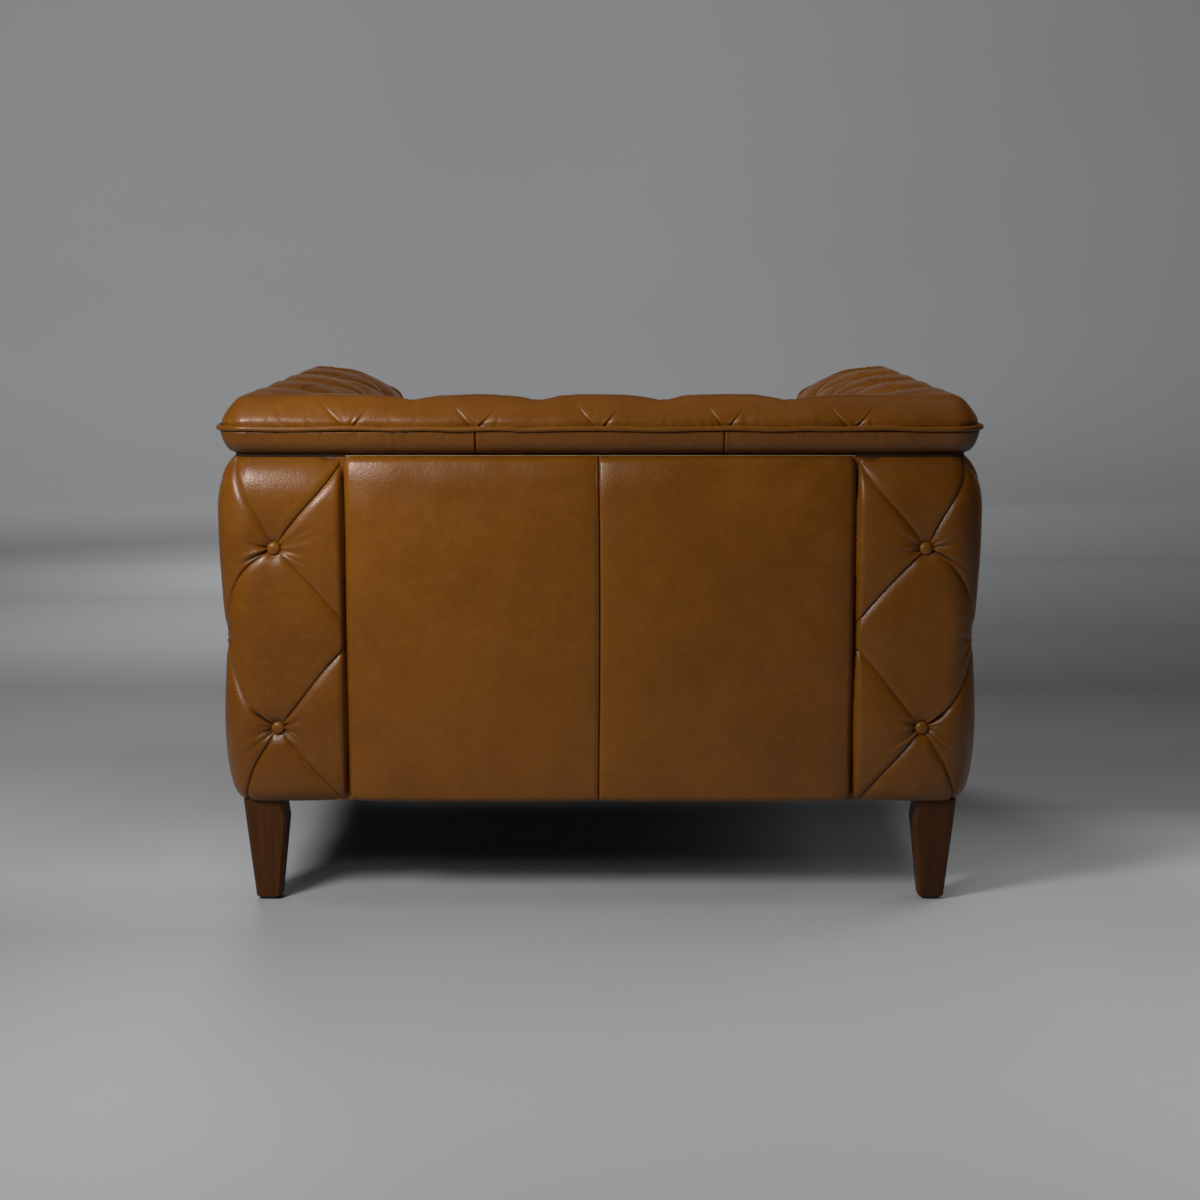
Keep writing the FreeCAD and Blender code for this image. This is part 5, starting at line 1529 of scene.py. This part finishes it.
# Wood: light, dark, scale of the grain, roughness.
WOODS = {
    "dark_walnut": ((98, 55, 14), (66, 36, 8), 1.0, 0.50),
    "frame_timber": ((205, 170, 122), (168, 128, 82), 0.8, 0.60),
}
# Woven: light, dark, pitch of the threads, depth of the relief.
WOVENS = {
    "hessian": ((176, 146, 100), (112, 86, 54), 0.0024, 0.0005),
    "webbing": ((150, 118, 78), (92, 66, 38), 0.0030, 0.0005),
    "dust_cloth": ((44, 43, 44), (22, 21, 22), 0.0014, 0.0002),
    "zip_tape": ((84, 52, 30), (52, 31, 17), 0.0011, 0.0002),
}
# Speckled: light, dark, scale of the speckle, roughness, depth of the relief, metallic.
SPECKLED = {
    "hardboard": ((128, 92, 60), (92, 62, 38), 700.0, 0.75, 0.0002),
    "foam": ((226, 208, 160), (196, 172, 118), 900.0, 0.9, 0.0005),
    "felt": ((92, 88, 84), (54, 52, 52), 500.0, 0.92, 0.0005),
    "glide_nylon": ((40, 36, 34), (24, 21, 20), 500.0, 0.55, 0.0001),
    "spring_steel": ((96, 98, 102), (60, 61, 64), 300.0, 0.4, 0.0001, 1.0),
    "zinc_steel": ((178, 180, 182), (132, 134, 138), 260.0, 0.36, 0.0001, 1.0),
    "insert_brass": ((190, 150, 82), (150, 112, 56), 260.0, 0.36, 0.0001, 1.0),
    "zip_brass": ((178, 138, 72), (128, 94, 44), 320.0, 0.34, 0.0001, 1.0),
}
materials = {}
for make, table in ((leather, LEATHERS), (wood, WOODS), (weave, WOVENS), (speckled, SPECKLED)):
    for slot_name, numbers in table.items():
        materials[slot_name] = make(slot_name, *numbers)


def dress_frame():
    """Gives every CAD node the material of its slot."""
    for part in frame["record"]["subparts"]:
        slot = part["material_slot"]
        obj = frame["nodes"][part["node"]]
        obj.data.materials.clear()
        obj.data.materials.append(materials[slot])


# ---- stage ----
# The floor's grey beyond the chair: from and to these distances along -Y it changes to a grey, given
# for the left and the right of the picture. These greys are painted light and shade: the floor is
# darker or paler by place to give the lamps' fall-off over it and a darker band towards the horizon.
FLOOR_BANDS = (
    (-0.55, -0.3, 186, 222), (-0.25, -0.05, 183, 196), (-0.05, 0.12, 178, 147),
    (0.12, 0.5, 155, 127), (0.6, 1.1, 131, 101), (1.1, 1.6, 144, 111), (1.8, 2.3, 142, 129),
    (2.3, 2.9, 181, 154), (3.0, 4.3, 236, 230), (4.5, 6.0, 241, 250),
)
STAGE_FLAT, STAGE_TURN, STAGE_TOP = 5.0, 3.0, 8.0   # radius of the flat, of its upturn, height
STAGE_SPOKES = 96
LEFT_X, RIGHT_X = 0.9, -0.6             # between them the left grey turns into the right one
# painted light and shade: the near floor's grey, darker on the left and paler on the right, sets how
# bright it looks under the lamps
NEAR_GREYS = (158, 216)
WALL_FADE = (2.3, 3.4)                  # heights over which the wall turns dark
BOUNCE = 0.68                           # how much darker the stage is for the light it throws back


def stage_mesh():
    """A round floor that turns up all round into a wall."""
    profile = [(0.0, 0.0), (2.0, 0.0), (STAGE_FLAT, 0.0)]
    for a in np.linspace(0, np.pi / 2, 12)[1:]:
        profile.append((STAGE_FLAT + STAGE_TURN * math.sin(a), STAGE_TURN * (1 - math.cos(a))))
    profile.append((STAGE_FLAT + STAGE_TURN, STAGE_TOP))
    angles = np.linspace(0, 2 * np.pi, STAGE_SPOKES, endpoint=False)
    points = [(r * math.cos(a), r * math.sin(a), z) for r, z in profile for a in angles]
    mesh = new_mesh("floor", points, ring_quads(len(profile), STAGE_SPOKES))
    mesh.shade_smooth()
    mesh.validate()
    return mesh


def grey(level):
    """A very slightly cool grey."""
    return tint(level - 1, level, level + 2)


def stage_material():
    """Greys by place, which are painted light and shade on the floor. Seen directly or in a gloss
    the stage is pale, while it throws little light back on to the chair."""
    m = Nodes("floor_grey")
    cloudy = m.noise(1.2, 2.0)
    axes = m.axes()
    sideways = m.between(axes["X"], LEFT_X, RIGHT_X)
    shade = m.mix(sideways, *(grey(level) for level in NEAR_GREYS))
    # painted light and shade: the bands of grey along the floor
    for start, end, left, right in FLOOR_BANDS:
        band = m.mix(sideways, grey(left), grey(right))
        shade = m.mix(m.between(axes["Y"], -start, -end), shade, band)
    shade = m.mix(m.between(axes["Z"], *WALL_FADE), shade, tint(44, 44, 44))
    shade = m.mix(m.between(cloudy, 0.3, 0.7, 0.0, 0.03), shade, (0.2, 0.2, 0.2))
    path = m.add("ShaderNodeLightPath").outputs
    seen = m.math("MAXIMUM", path["Is Camera Ray"], path["Is Glossy Ray"])
    seen = m.math("MAXIMUM", seen, path["Is Transmission Ray"])
    shade = m.mix(seen, m.mix(BOUNCE, shade, (0.01, 0.01, 0.01)), shade)
    return m.finish(shade, 0.85, Specular_IOR_Level=0.15)


def build_stage():
    """The surroundings, which cast no shadow."""
    mesh = stage_mesh()
    mesh.materials.append(stage_material())
    obj = new_object("floor", mesh)
    obj.visible_shadow = False


WARM = (1.0, 0.99, 0.97)
COOL = (0.98, 0.99, 1.0)


def area_light(name, place, target, size, power, colour=(1, 1, 1), shine=True, spread=180):
    """A round lamp at place that shines at target. shine lets it show in glosses."""
    data = bpy.data.lights.new(name, "AREA")
    data.shape, data.size, data.energy, data.color = "DISK", size, power, colour
    data.spread = math.radians(spread)
    obj = new_object(name, data)
    obj.location = place
    way = Vector(target) - Vector(place)
    obj.rotation_euler = way.to_track_quat("-Z", "Y").to_euler()
    obj.visible_glossy = shine


def build_light():
    """Two lamps behind the chair on its left make the shapes, and the others only fill."""
    area_light("key", (1.00, 1.40, 1.28), (0.15, 0.3, 0.40), 0.48, 16.5, WARM)
    area_light("overhead", (0.85, 2.40, 1.50), (0.1, 0.3, 0.4), 0.40, 3.5, WARM)
    area_light("top", (-0.9, 0.35, 2.6), (-0.3, 0.3, 0.5), 1.0, 8.0, shine=False)
    area_light("floor_wash", (-1.4, 1.3, 2.4), (-1.4, 1.25, 0.0), 0.8, 1.8, shine=False, spread=62)
    area_light("front_fill", (0.9, -2.4, 1.8), (0, -0.2, 0.3), 1.4, 44.0, shine=False)
    area_light("side_fill", (-2.8, -1.7, 1.5), (0, -0.1, 0.35), 1.4, 11.0, shine=False)
    area_light("wall_wash", (1.5, -2.6, 4.0), (-0.1, -8.0, 1.4), 1.5, 64.0, shine=False)
    world = bpy.data.worlds.new("studio")
    world.use_nodes = True
    sky = world.node_tree.nodes["Background"].inputs
    sky["Color"].default_value = (*COOL, 1.0)
    sky["Strength"].default_value = 0.12
    bpy.context.scene.world = world


CAMERA_PLACE, CAMERA_LENS, CAMERA_TILT = (0.0, 3.325, 0.910), 63.84, 9.24


def build_camera():
    """Square to the back, a little above its top, looking slightly down."""
    data = bpy.data.cameras.new("camera")
    data.lens, data.sensor_width = CAMERA_LENS, 36.0
    camera = new_object("camera", data)
    camera.location = CAMERA_PLACE
    camera.rotation_euler = (math.radians(90 - CAMERA_TILT), 0.0, math.radians(180))
    bpy.context.scene.camera = camera
    bpy.context.scene.view_settings.view_transform = "Standard"


def main():
    """Builds everything."""
    dress_frame()
    build_stage()
    build_light()
    build_camera()
    outer_seats = build_outer_arms()
    build_buttons("outer_buttons", outer_seats, "outer_arm_buttons")
    arm_seats = build_inner_arms()
    build_buttons("arm_buttons", arm_seats, "inner_arm_buttons")
    back_seats = build_inner_back()
    build_buttons("back_buttons", back_seats, "inner_back_buttons", both=False)
    build_band()
    build_welt()
    build_panels()
    build_cushion()
    build_dust_cloth()
    build_deck_pad()


main()
